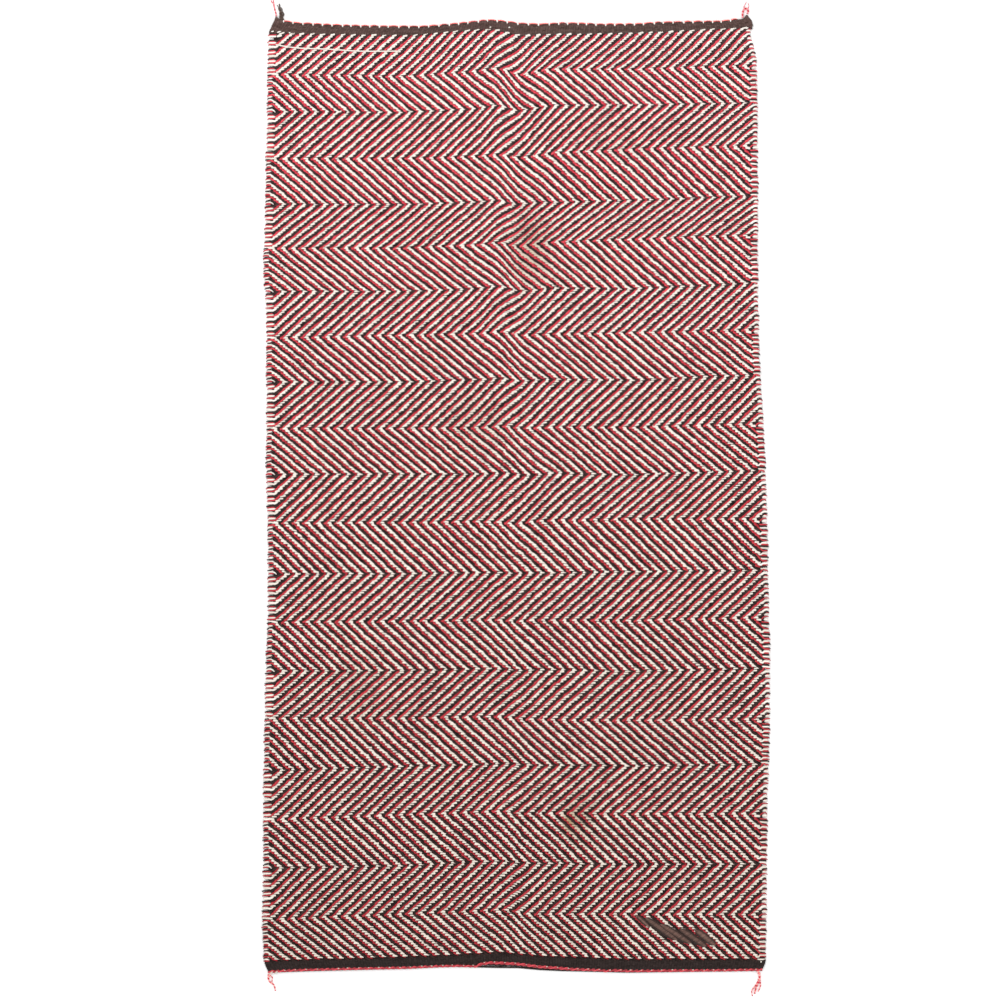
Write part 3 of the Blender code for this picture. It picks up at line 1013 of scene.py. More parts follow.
@dataclass
class PlainBand:
    """A plain woven band across one end: floats over one warp, one pick up, one pick down."""

    name: str
    grid: WeaveGrid
    first_pick: int
    last_pick: int
    material: Material
    half_length: float = 0.62
    half_height: float = 1.15
    mottling: float = 0.32
    tone_spread: float = 0.22

    def build(self) -> Piece:
        """Build the band's front and back beads.

        Returns:
            The piece.
        """
        random_source = np.random.default_rng(SEED + self.first_pick + 1000)
        picks = []
        warps = []
        backs = []
        for pick in range(self.first_pick, self.last_pick):
            for parity in (0, 1):
                row = np.arange((pick + parity) % 2, self.grid.warps, 2)
                picks.append(np.full(len(row), pick))
                warps.append(row + 0.5)
                backs.append(np.full(len(row), parity))
        picks = np.concatenate(picks) + 0.5
        warps = np.concatenate(warps)
        is_back = np.concatenate(backs) == 1
        count = len(picks)
        length = self.half_length * random_source.uniform(0.92, 1.08, count)
        height = self.half_height * random_source.uniform(0.92, 1.08, count)
        own_tone = random_source.normal(1.0, self.tone_spread, count)
        row = (picks - picks.min()).astype(int)
        wave = random_source.uniform(0.1, 0.5, row.max() + 1)[row]
        start = random_source.uniform(0.0, 2 * math.pi, row.max() + 1)[row]
        own_tone += self.mottling * np.sin(wave * warps + start)
        points = np.empty((count, 8, 3))
        tone = np.empty((count, 8))
        # Place beside, place below, level on the front and on the back in millimetres, and painted shade, low
        # at the tips and rims and a painted highlight above 1 on the crest
        corners = (
            (-1, 0, 3.2, 1.6, 0.85),
            (1, 0, 3.2, 1.6, 0.85),
            (-0.5, -1, 3.4, 1.2, 0.8),
            (0.5, -1, 3.4, 1.2, 0.8),
            (-0.5, 0, 4.3, 0.1, 1.08),
            (0.5, 0, 4.3, 0.1, 1.08),
            (-0.5, 1, 3.4, 1.2, 0.9),
            (0.5, 1, 3.4, 1.2, 0.9),
        )
        for index, (beside, below, front_level, back_level, shade) in enumerate(corners):
            pick = np.clip(picks + below * height, self.first_pick, self.last_pick)
            x, y = self.grid.place(pick, warps + beside * length)
            level = np.where(is_back, back_level, front_level) * MM
            points[:, index] = self.grid.outline.in_frame(x, y, level)
            tone[:, index] = own_tone * shade
        front = shifted(TwillFace.RIDGED, count, 8).reshape(count, -1, 3)
        front[is_back] = front[is_back][:, :, ::-1]
        triangles = front.reshape(-1, 3)
        return ClothPiece.make(
            self.name, points.reshape(-1, 3), triangles, tone.ravel(), self.material, "twill_wool"
        )


@dataclass
class YarnRun:
    """A round yarn along a path, which may be one ply of a twisted cord."""

    path: list[Vector]
    radii: list[float]
    sides: int = 8

    def arrays(self) -> Arrays:
        """Return the points and triangles of the closed tube.

        Returns:
            A row for each point, and a row of three point numbers for each triangle.
        """
        points = []
        triangles = []
        count = len(self.path)
        for index, (place, radius) in enumerate(zip(self.path, self.radii)):
            before = self.path[max(index - 1, 0)]
            after = self.path[min(index + 1, count - 1)]
            direction = (after - before).normalized()
            side = direction.cross(Vector((0.0, 0.0, 1.0)))
            if side.length < 1e-4:
                side = Vector((1.0, 0.0, 0.0))
            side.normalize()
            up = side.cross(direction)
            for step in range(self.sides):
                angle = 2 * math.pi * step / self.sides
                points.append(place + radius * (math.cos(angle) * side + math.sin(angle) * up))
        for index in range(count - 1):
            for step in range(self.sides):
                here = index * self.sides + step
                beside = index * self.sides + (step + 1) % self.sides
                triangles.append((here, beside, beside + self.sides))
                triangles.append((here, beside + self.sides, here + self.sides))
        first_cap = len(points)
        points.append(self.path[0])
        points.append(self.path[-1])
        last = (count - 1) * self.sides
        for step in range(self.sides):
            beside = (step + 1) % self.sides
            triangles.append((first_cap, beside, step))
            triangles.append((first_cap + 1, last + step, last + beside))
        return np.array([tuple(p) for p in points]), np.array(triangles)


def joined(parts: list[Arrays]) -> Arrays:
    """Join several forms into one.

    Args:
        parts: The points and triangles of each form.

    Returns:
        All the points, and all the triangles.
    """
    points = []
    triangles = []
    total = 0
    for part_points, part_triangles in parts:
        points.append(part_points)
        triangles.append(part_triangles + total)
        total += len(part_points)
    return np.concatenate(points), np.concatenate(triangles)


def yarn_along(line: np.ndarray, radius: float, shares: Sequence[float], sides: int = 6) -> YarnRun:
    """Lay a round yarn along a line.

    Args:
        line: A row of x, y and z for each point.
        radius: The yarn's radius.
        shares: How thick it is at each point, as a share of that radius.
        sides: How many sides it has.

    Returns:
        The run of yarn.
    """
    return YarnRun([Vector(point) for point in line], [radius * share for share in shares], sides)


def plied(
    path: list[Vector], plies: int, ply_radius: float, turn: float, ends: float = 1.0
) -> list[YarnRun]:
    """Return the plies of a twisted cord.

    Args:
        path: The cord's own line, at close steps.
        plies: Number of plies.
        ply_radius: Radius of one ply.
        turn: Length along the cord of one full turn.
        ends: How thick the plies are at the far end, as a share of their start.

    Returns:
        A run of yarn for each ply.
    """
    runs = []
    for ply in range(plies):
        places = []
        radii = []
        travelled = 0.0
        for index, place in enumerate(path):
            before = path[max(index - 1, 0)]
            after = path[min(index + 1, len(path) - 1)]
            travelled += (place - before).length
            share = index / (len(path) - 1)
            radius = ply_radius * (1 + (ends - 1) * share)
            direction = (after - before).normalized()
            side = direction.cross(Vector((0.0, 0.0, 1.0))).normalized()
            up = side.cross(direction)
            angle = 2 * math.pi * (travelled / turn + ply / plies)
            places.append(place + radius * PLY_SPREAD * (math.cos(angle) * side + math.sin(angle) * up))
            radii.append(radius)
        runs.append(YarnRun(places, radii, 7))
    return runs


def smooth_path(corners: list[Vector], step: float) -> list[Vector]:
    """Draw a smooth line through corners.

    Args:
        corners: Points that the line passes through.
        step: About how far apart its points are.

    Returns:
        The points of the line.
    """
    padded = [corners[0]] + list(corners) + [corners[-1]]
    route = []
    for before, start, end, after in zip(padded, padded[1:], padded[2:], padded[3:]):
        pieces = max(2, round((end - start).length / step))
        for piece in range(pieces):
            t = piece / pieces
            bend_in = (end - before) / 2
            bend_out = (after - start) / 2
            point = (2 * t**3 - 3 * t**2 + 1) * start + (t**3 - 2 * t**2 + t) * bend_in
            route.append(point + (3 * t**2 - 2 * t**3) * end + (t**3 - t**2) * bend_out)
    return route + [corners[-1]]


@dataclass
class SideLoops:
    """The weft's turns along the two sides.

    Every six picks each yarn turns round the outermost warps once. A turn runs on into a stripe of its
    own yarn where the pattern joins it to one, and else ends short under the floats beside it.
    """

    grid: WeaveGrid
    finishes: dict[Yarn, Material]
    cycle: int = 12
    reach: float = 3.3

    def build(self) -> list[Piece]:
        """Build the turns of each yarn, on both sides.

        Returns:
            A piece for each yarn.
        """
        source = random.Random(SEED)
        parts: dict[Yarn, list[Arrays]] = {yarn: [] for yarn in Yarn}
        tones: dict[Yarn, list[float]] = {yarn: [] for yarn in Yarn}
        for side in Side:
            for place, slant, is_at_stripe in self._groups(side):
                pattern = TURN_PATTERNS[(side, slant)]
                for turn in pattern.at_red_stripe if is_at_stripe else pattern.half_way_up:
                    middle = place + turn.below + source.uniform(-0.4, 0.4)
                    run = self._turn(side, slant, turn, middle, source)
                    parts[turn.yarn].append(run.arrays())
                    own = source.gauss(1.0, 0.14)
                    steps = len(run.path)
                    # Painted shade: the dark and red turns darken towards their ends, where they bend down
                    # over the edge
                    edge_shade = 0.0 if turn.yarn is Yarn.PALE else 0.6
                    for step in range(steps):
                        tones[turn.yarn] += [own * (1.15 - edge_shade * step / (steps - 1))] * run.sides
                    tones[turn.yarn] += [own] * 2
        pieces = []
        for yarn in Yarn:
            points, triangles = joined(parts[yarn])
            name = f"side_loops_{yarn.name.lower()}"
            tone = np.array(tones[yarn])
            pieces.append(ClothPiece.make(name, points, triangles, tone, self.finishes[yarn], "twill_wool"))
        return pieces

    def _crossings(self, side: Side, yarn: Yarn) -> np.ndarray:
        """Find where stripes of a yarn end at a side.

        Args:
            side: The side.
            yarn: The yarn.

        Returns:
            The middles of those picks.
        """
        counts = self.grid.counts()
        slants = self.grid.slants()
        ends_here = np.zeros(len(counts), dtype=bool)
        for slant in Slant:
            inwards = TURN_PATTERNS[(side, slant)].stripe_warps
            warp = inwards if side is Side.LEFT else self.grid.warps - inwards
            ends_here |= (slants == slant.value) & (counts % 4 == warp % 4)
        return np.flatnonzero(ends_here & (counts % 3 == yarn.value)) + 0.5

    def _groups(self, side: Side) -> list[tuple[float, Slant, bool]]:
        """Place the groups of turns along a side.

        Args:
            side: The side.

        Returns:
            Each group's pick, the slant of its band, and whether it lies at a red stripe's end.
        """
        slants = self.grid.slants()
        last_pick = self.grid.twill_picks - 3.8
        places: list[tuple[float, bool]] = [(0.2, False)]
        for crossing in self._crossings(side, Yarn.RED):
            slant = Slant(int(slants[int(crossing)]))
            first = crossing + TURN_PATTERNS[(side, slant)].shift
            for place, is_at_stripe in ((first - self.cycle / 2, False), (first, True)):
                if place - places[-1][0] > self.cycle / 3 and place < last_pick - 3.0:
                    places.append((place, is_at_stripe))
        places.append((last_pick, False))
        filled = [places[0]]
        for place, is_at_stripe in places[1:]:
            start = filled[-1][0]
            gaps = max(1, round((place - start) / (self.cycle / 2)))
            step = (place - start) / gaps
            filled += [(start + step * (number + 1), False) for number in range(gaps - 1)]
            filled.append((place, is_at_stripe))
        return [(place, Slant(int(slants[int(place)])), is_at_stripe) for place, is_at_stripe in filled]

    def _turn(
        self, side: Side, slant: Slant, turn: SideTurn, middle: float, source: random.Random
    ) -> YarnRun:
        """Lay one turn of yarn from its stripe over the outermost warps and down at the edge.

        Args:
            side: The side.
            slant: Which way the stripes of its band run.
            turn: The turn.
            middle: The pick at which it lies.
            source: Gives each turn its own curl and thickness.

        Returns:
            The run of yarn.
        """
        crossings = self._crossings(side, turn.yarn)
        nearest = float(crossings[np.argmin(np.abs(crossings - middle))])
        is_joined = turn.is_joined and abs(nearest - middle) < self.reach
        slope = slant.value * (1 if side is Side.LEFT else -1)
        curl = 0.3 if turn.yarn is Yarn.PALE else source.uniform(0.3, 1.8)
        edge = source.uniform(-0.3, 0.35) - (0.3 if side is Side.LEFT else 0.0)
        edge += 0.3 if turn.yarn is Yarn.PALE else 0.0
        zone = TURN_PATTERNS[(side, slant)].stripe_warps
        offsets = [(zone - 0.9, middle, 3.1), (0.4 * zone, middle + 0.1, 3.0)]
        offsets += [(0.45 + edge / 2, middle + 0.3 * curl, 2.6), (0.15 + edge, middle + curl, 1.7)]
        if is_joined:
            turn_in = nearest + 0.35 * (middle - nearest)
            offsets.insert(0, (zone - 0.3, turn_in, 3.2))
            offsets.insert(0, (zone + 0.4, nearest - slope, 3.2))
            offsets.insert(0, (zone + 1.1, nearest - 3.2 * slope, 3.0))
        else:
            offsets.insert(0, (zone - 0.5, middle - 0.1 * slope, 3.0))
            offsets.insert(0, (zone, middle - 0.5 * slope, 2.4))
        path = []
        for inwards, pick, level in offsets:
            warp = inwards if side is Side.LEFT else self.grid.warps - inwards
            x, y = self.grid.place(np.array([pick]), np.array([warp]))
            level = level - 0.6 if turn.yarn is Yarn.PALE else level
            path.append(Vector(self.grid.outline.in_frame(x, y, np.array([level * MM]))[0]))
        radius = turn.radius * MM * source.uniform(0.84, 1.14)
        thinning = [0.75] + [1.0] * (len(path) - 3) + [0.9, 0.65]
        return YarnRun(path, [radius * share for share in thinning], 6)


@dataclass
class GroundCloth:
    """The body of the cloth that the floats lie on, seen only as the shade between them."""

    grid: WeaveGrid
    material: Material
    columns: int = 47
    rows: int = 130
    underside: float = 1.5 * MM
    top: float = 2.8 * MM
    inset_warps: float = 1.9
    inset_picks: float = 0.9

    def build(self) -> Piece:
        """Build the closed sheet.

        Returns:
            The piece, which stands for the cloth's solid.
        """
        first = self.grid.line_picks[0] + self.inset_picks
        last = self.grid.line_picks[-1] - self.inset_picks
        warps = np.linspace(self.inset_warps, self.grid.warps - self.inset_warps, self.columns + 1)
        points = []
        for level in (self.top, self.underside):
            for pick in np.linspace(last, first, self.rows + 1):
                across, height = self.grid.place(np.full(len(warps), pick), warps)
                points.append(self.grid.outline.in_frame(across, height, np.full(len(warps), level)))
        points = np.concatenate(points)
        triangles = self._triangles()
        piece = ClothPiece.make(
            "cloth_body", points, triangles, np.ones(len(points)), self.material, "twill_wool"
        )
        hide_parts("blanket_cloth")
        return piece

    def _triangles(self) -> np.ndarray:
        """Join the points of the sheet's top and underside, and close its edges.

        Returns:
            A row of three point numbers for each triangle.
        """
        wide = self.columns + 1
        below = wide * (self.rows + 1)
        triangles = []
        for row in range(self.rows):
            for column in range(self.columns):
                corner = row * wide + column
                triangles.append((corner, corner + 1, corner + wide + 1))
                triangles.append((corner, corner + wide + 1, corner + wide))
                triangles.append((below + corner, below + corner + wide + 1, below + corner + 1))
                triangles.append((below + corner, below + corner + wide, below + corner + wide + 1))
        rim = list(range(self.columns))
        rim += [row * wide + self.columns for row in range(self.rows)]
        rim += [self.rows * wide + self.columns - column for column in range(self.columns)]
        rim += [(self.rows - row) * wide for row in range(self.rows)]
        for here, after in zip(rim, rim[1:] + rim[:1]):
            triangles.append((here, below + here, below + after))
            triangles.append((here, below + after, after))
        return np.array(triangles)


@dataclass
class EndCord:
    """The twisted cord along the lower end of the cloth, and the brown edge that shows below it."""

    outline: Outline
    material: Material
    brown: Material
    ply_radius: float = 1.3 * MM
    turn: float = 17 * MM
    first: float = -388 * MM
    last: float = 383 * MM
    level: float = 2.4 * MM
    beyond: float = 1.6 * MM
    edge_radius: float = 1.5 * MM
    edge_beyond: float = 1.9 * MM
    # Painted highlight and shade: the two plies are lit and shaded copies of the same red
    lit_ply_tone: float = 1.35
    shaded_ply_tone: float = 0.75

    def build(self) -> list[Piece]:
        """Build the cord's plies and the edge.

        Returns:
            The cord, which stands for the cord's solid, and the edge.
        """
        across = np.arange(self.first, self.last, 1.2 * MM)
        edge = self.outline.lower(across)
        height = edge - self.beyond + self.outline.cord_lift(across)
        line = self.outline.in_frame(across, height, np.zeros(len(across)))
        line[:, 2] = self.level + self.outline.cord_rise(across)
        plies = plied([Vector(point) for point in line], 2, self.ply_radius, self.turn)
        points, triangles = joined([run.arrays() for run in plies])
        source = np.random.default_rng(SEED + 50)
        tone = source.normal(0.0, 0.12, len(points))
        # Painted highlight on the first ply and painted shade on the second
        each = len(points) // 2
        tone[:each] += self.lit_ply_tone
        tone[each:] += self.shaded_ply_tone
        cord = ClothPiece.make("cord_bottom", points, triangles, tone, self.material, "red_yarn")
        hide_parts("end_cord_bottom")
        below = self.outline.in_frame(across, edge - self.edge_beyond, np.zeros(len(across)))
        below[:, 2] = self.edge_radius
        points, triangles = yarn_along(below, self.edge_radius, [1.0] * len(below), 7).arrays()
        tone = source.normal(0.8, 0.15, len(points))
        return [cord, ClothPiece.make("edge_brown_bottom", points, triangles, tone, self.brown, "twill_wool")]


@dataclass(frozen=True)
class TasselStrand:
    """One strand of a tassel: its way in millimetres from the blanket's middle, and its yarn."""

    places: tuple[Place, ...]
    ply_radius: float
    end_share: float = 1.0
    plies: int = 2
    turn: float = 9.0 * MM


@dataclass(frozen=True)
class Tassel:
    """A small tassel of twisted strands and knots at a corner."""

    name: str
    node: str
    strands: tuple[TasselStrand, ...]
    knots: tuple[Place, ...] = ()
    knot_radius: float = 2.2 * MM
    slot: str = "red_yarn"
    # Painted highlight and shade: the tone swings between these two along each strand, for the lit and shaded
    # sides of its twist
    tones: tuple[float, float] = (-0.15, 1.05)
    shade_swing_length: float = 5.6 * MM
    path_step: float = 0.7 * MM

    def build(self, outline: Outline, material: Material) -> Piece:
        """Build the strands and knots as one piece.

        Args:
            outline: The blanket's outline.
            material: Finish of the yarn.

        Returns:
            The piece, which stands for the tassel's solid.
        """
        runs: list[YarnRun] = []
        for strand in self.strands:
            level = strand.ply_radius * (1 + PLY_SPREAD)
            path = smooth_path([outline.on_ground(*place, level) for place in strand.places], self.path_step)
            runs += plied(path, strand.plies, strand.ply_radius, strand.turn, strand.end_share)
        for place in self.knots:
            runs += self._knot(outline.on_ground(*place, self.knot_radius))
        points, triangles = joined([run.arrays() for run in runs])
        source = random.Random(SEED + len(points))
        middle = sum(self.tones) / 2
        swing = (self.tones[1] - self.tones[0]) / 2
        tones: list[float] = []
        for run in runs:
            for step in range(len(run.path)):
                # Painted highlight and shade that swing along the strand
                turn = 2 * math.pi * step * self.path_step / self.shade_swing_length
                tones += [source.gauss(middle + swing * math.sin(turn), 0.15)] * run.sides
            tones += [middle] * 2
        piece = ClothPiece.make(self.name, points, triangles, np.array(tones), material, self.slot)
        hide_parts(self.node)
        return piece

    def _knot(self, centre: Vector) -> list[YarnRun]:
        """Wrap one knot, as two crossing rings of yarn.

        Args:
            centre: The knot's middle.

        Returns:
            The rings.
        """
        steps = 14
        runs = []
        for lean in (0.5, -0.6):
            ring = []
            for step in range(steps + 1):
                angle = 2 * math.pi * step / steps
                rise = math.sin(angle)
                flat = Vector((math.cos(angle), rise * math.cos(lean), rise * math.sin(lean)))
                ring.append(centre + flat * self.knot_radius * 0.55)
            runs.append(YarnRun(ring, [self.knot_radius * 0.5] * len(ring), 7))
        return runs


TASSELS = (
    Tassel(
        "tassel_top_left",
        "corner_tassel_top_left",
        (
            TasselStrand(((-375.6, 752.5), (-376.2, 756), (-378.3, 764), (-379.6, 771)), 0.62 * MM),
            TasselStrand(((-379.4, 770), (-381.5, 773), (-384, 776.5), (-387, 781)), 0.75 * MM, 0.6, 1),
            TasselStrand(((-379.4, 770), (-379.4, 774), (-380, 779), (-381.2, 785)), 0.75 * MM, 0.6, 1),
        ),
        knots=((-375.7, 752.6),),
        knot_radius=1.3 * MM,
    ),
    Tassel(
        "tuft_top_left",
        "selvage_tuft_top_left",
        (
            TasselStrand(((-369.4, 746.3), (-369.2, 753), (-369.6, 762), (-370.8, 771)), 1.15 * MM, 0.5),
            TasselStrand(
                ((-369.6, 758), (-371.6, 763.5), (-373.4, 766.5), (-374.4, 769.5)), 0.8 * MM, 0.6, 1
            ),
            TasselStrand(
                ((-365.4, 745.6), (-364.6, 753.4), (-365.6, 759.5), (-368.6, 764.6)), 1.25 * MM, 0.6, 1
            ),
            TasselStrand(
                ((-367.4, 745.8), (-367.0, 752.0), (-367.4, 757.0), (-368.6, 762.0)), 1.1 * MM, 0.8, 1
            ),
        ),
        slot="brown_yarn",
        tones=(0.7, 1.2),
    ),
    Tassel(
        "tassel_top_right",
        "corner_tassel_top_right",
        (
            TasselStrand(
                ((351.9, 749.3), (351.9, 756), (353.6, 761.6), (357, 763.4), (360.4, 760.6), (359.4, 755.2)),
                0.85 * MM,
            ),
            TasselStrand(((354.4, 761.6), (354.4, 766), (355.4, 770), (358.6, 774)), 0.7 * MM, 0.6, 1),
            TasselStrand(((359, 761), (361.4, 765), (361.4, 768), (360.4, 771.5)), 0.7 * MM, 0.6, 1),
        ),
    ),
    Tassel(
        "tassel_bottom_left",
        "corner_tassel_bottom_left",
        (
            TasselStrand(
                (
                    (-385.6, -740.4),
                    (-387.4, -744.6),
                    (-387.6, -749),
                    (-385.4, -754.5),
                    (-379, -759.6),
                    (-376.8, -768.4),
                ),
                0.85 * MM,
                0.7,
            ),
            TasselStrand(
                ((-385.4, -744.5), (-382.2, -747.6), (-381.4, -752.4), (-383.6, -755.8)), 0.7 * MM, 1.0, 1
            ),
        ),
        knots=((-386.2, -744.3),),
    ),
    Tassel(
        "tassel_bottom_right",
        "corner_tassel_bottom_right",
        (
            TasselStrand(
                ((375.6, -737.6), (377.4, -741), (378.4, -746), (378.2, -750), (377.6, -753)), 1.05 * MM
            ),
            TasselStrand(((377.2, -752), (372.2, -760), (366.4, -768.4), (367.2, -777)), 0.6 * MM, 0.7),
            TasselStrand(((377.6, -752), (375, -759), (372.8, -765), (370.4, -773)), 0.85 * MM, 0.8),
            TasselStrand(((378, -752), (379.8, -757), (379.4, -762), (376, -770.4)), 0.6 * MM, 0.7),
        ),
        knots=((377.4, -741.4), (377.8, -752)),
    ),
)


@dataclass(frozen=True)
class Lobe:
    """One ridge of the darned mend: its ends and width in millimetres, and its tone."""

    start: Place
    end: Place
    width: float
    tone: float = 1.0
    swell: int = 4


# The last lobe's tone above 1 is a painted highlight
MEND_LOBES = (
    Lobe((186, -650), (206, -669), 3.2, 1.5, 2),
    Lobe((201, -655), (249, -689), 7.2, 0.95),
    Lobe((224, -664.5), (270, -694), 7.4, 1.05),
    Lobe((254, -671.5), (294, -699), 7.6, 0.95),
    Lobe((279, -673.5), (308, -697), 8.2, 1.15),
)


@dataclass
class Mend:
    """The darned patch: fat stitched lobes that lie along the stripes."""

    outline: Outline
    material: Material
    lobes: tuple[Lobe, ...]
    stitch_pitch: float = 1.6 * MM
    crest: float = 7.2 * MM
    rim: float = 3.6 * MM
    base_crest: float = 5.6 * MM
    base_margin: float = 2.3 * MM

    def build(self) -> Piece:
        """Build the stitches of every lobe, over a lower layer darkened as painted shade, which shows in the
        grooves between the lobes.

        Returns:
            The piece.
        """
        source = random.Random(SEED + 3)
        parts = []
        tones: list[float] = []
        for lobe in self.lobes:
            # Painted shade: the under-layer at a quarter of the lobe's tone shows as the dark grooves between
            # lobes
            self._stitches(lobe, self.base_margin, self.base_crest, lobe.tone * 0.25, source, parts, tones)
            self._stitches(lobe, 0.0, self.crest, lobe.tone, source, parts, tones)
        points, triangles = joined(parts)
        tone = np.array(tones)
        return ClothPiece.make("darned_mend", points, triangles, tone, self.material, "twill_wool")

    def _stitches(
        self,
        lobe: Lobe,
        margin: float,
        crest: float,
        tone: float,
        source: random.Random,
        parts: list[Arrays],
        tones: list[float],
    ) -> None:
        """Add one layer of stitches across a lobe.

        Args:
            lobe: The lobe.
            margin: How far the layer reaches beyond the lobe's sides.
            crest: The layer's height in the lobe's middle.
            tone: The layer's tone.
            source: Gives each stitch its own thickness and tone.
            parts: The stitches' points and triangles, added to.
            tones: A tone for each point, added to.
        """
        start = Vector(lobe.start) * MM
        end = Vector(lobe.end) * MM
        along = (end - start).normalized()
        beside = Vector((-along.y, along.x))
        stitches = round((end - start).length / self.stitch_pitch)
        wave = source.uniform(0.0, 2 * math.pi)
        for stitch in range(stitches):
            share = (stitch + 0.5) / stitches
            swell = math.sqrt(max(0.05, 1 - abs(2 * share - 1) ** lobe.swell))
            half = (lobe.width * MM / 2 + margin) * swell
            centre = start.lerp(end, share)
            own = tone * (source.gauss(1.0, 0.16) + 0.14 * math.sin(1.3 * stitch + wave))
            path = []
            for step in range(7):
                part = (step - 3) / 3
                flat = centre + beside * part * half + along * part * 1.8 * MM
                level = self.rim + (crest - self.rim) * swell * math.sqrt(1 - 0.98 * part**2)
                path.append(self.outline.point(flat.x, flat.y, level))
            radius = self.stitch_pitch * source.uniform(0.5, 0.62)
            run = YarnRun(path, [radius * s for s in (0.6, 0.9, 1.0, 1.05, 1.0, 0.9, 0.6)], 6)
            parts.append(run.arrays())
            # Painted shade at each stitch's ends, where it dips between lobes, and a painted highlight over
            # its crest
            for shade in (0.1, 0.6, 1.0, 1.2, 1.2, 0.95, 0.4):
                tones += [own * shade] * run.sides
            tones += [own] * 2


@dataclass
class StrayThread:
    """A thin loose thread caught in the floats near the upper left corner."""

    outline: Outline
    material: Material
    places: tuple[Place, ...]
    radius: float = 1.0 * MM
    level: float = 5.3 * MM
    path_step: float = 2 * MM

    def build(self) -> Piece:
        """Build the thread.

        Returns:
            The piece.
        """
        corners = [self.outline.point(across * MM, height * MM, self.level) for across, height in self.places]
        path = smooth_path(corners, self.path_step)
        points, triangles = YarnRun(path, [self.radius] * len(path), 6).arrays()
        tone = np.ones(len(points))
        return ClothPiece.make("stray_thread", points, triangles, tone, self.material, "twill_wool")


# Where the stray thread runs, in millimetres: (across, height)
STRAY_THREAD = ((-376, 706.5), (-343, 701.5), (-293, 699.5), (-245, 696.5), (-184, 696.5))

# Short cream yarns that show in the plain bands, in millimetres: (across, height, length, radius)
CREAM_SPECKS = (
    (-41.5, 734.0, 2.2, 0.9),
    (-11.9, 733.7, 2.4, 1.0),
    (-381.0, 727.3, 4.0, 1.0),
    (-371.0, 726.6, 6.0, 1.1),
    (-354.5, 725.4, 2.2, 0.9),
    (350.5, 731.5, 4.6, 1.0),
    (358.5, 732.5, 4.0, 1.0),
    (380.5, -723.0, 2.0, 1.1),
)


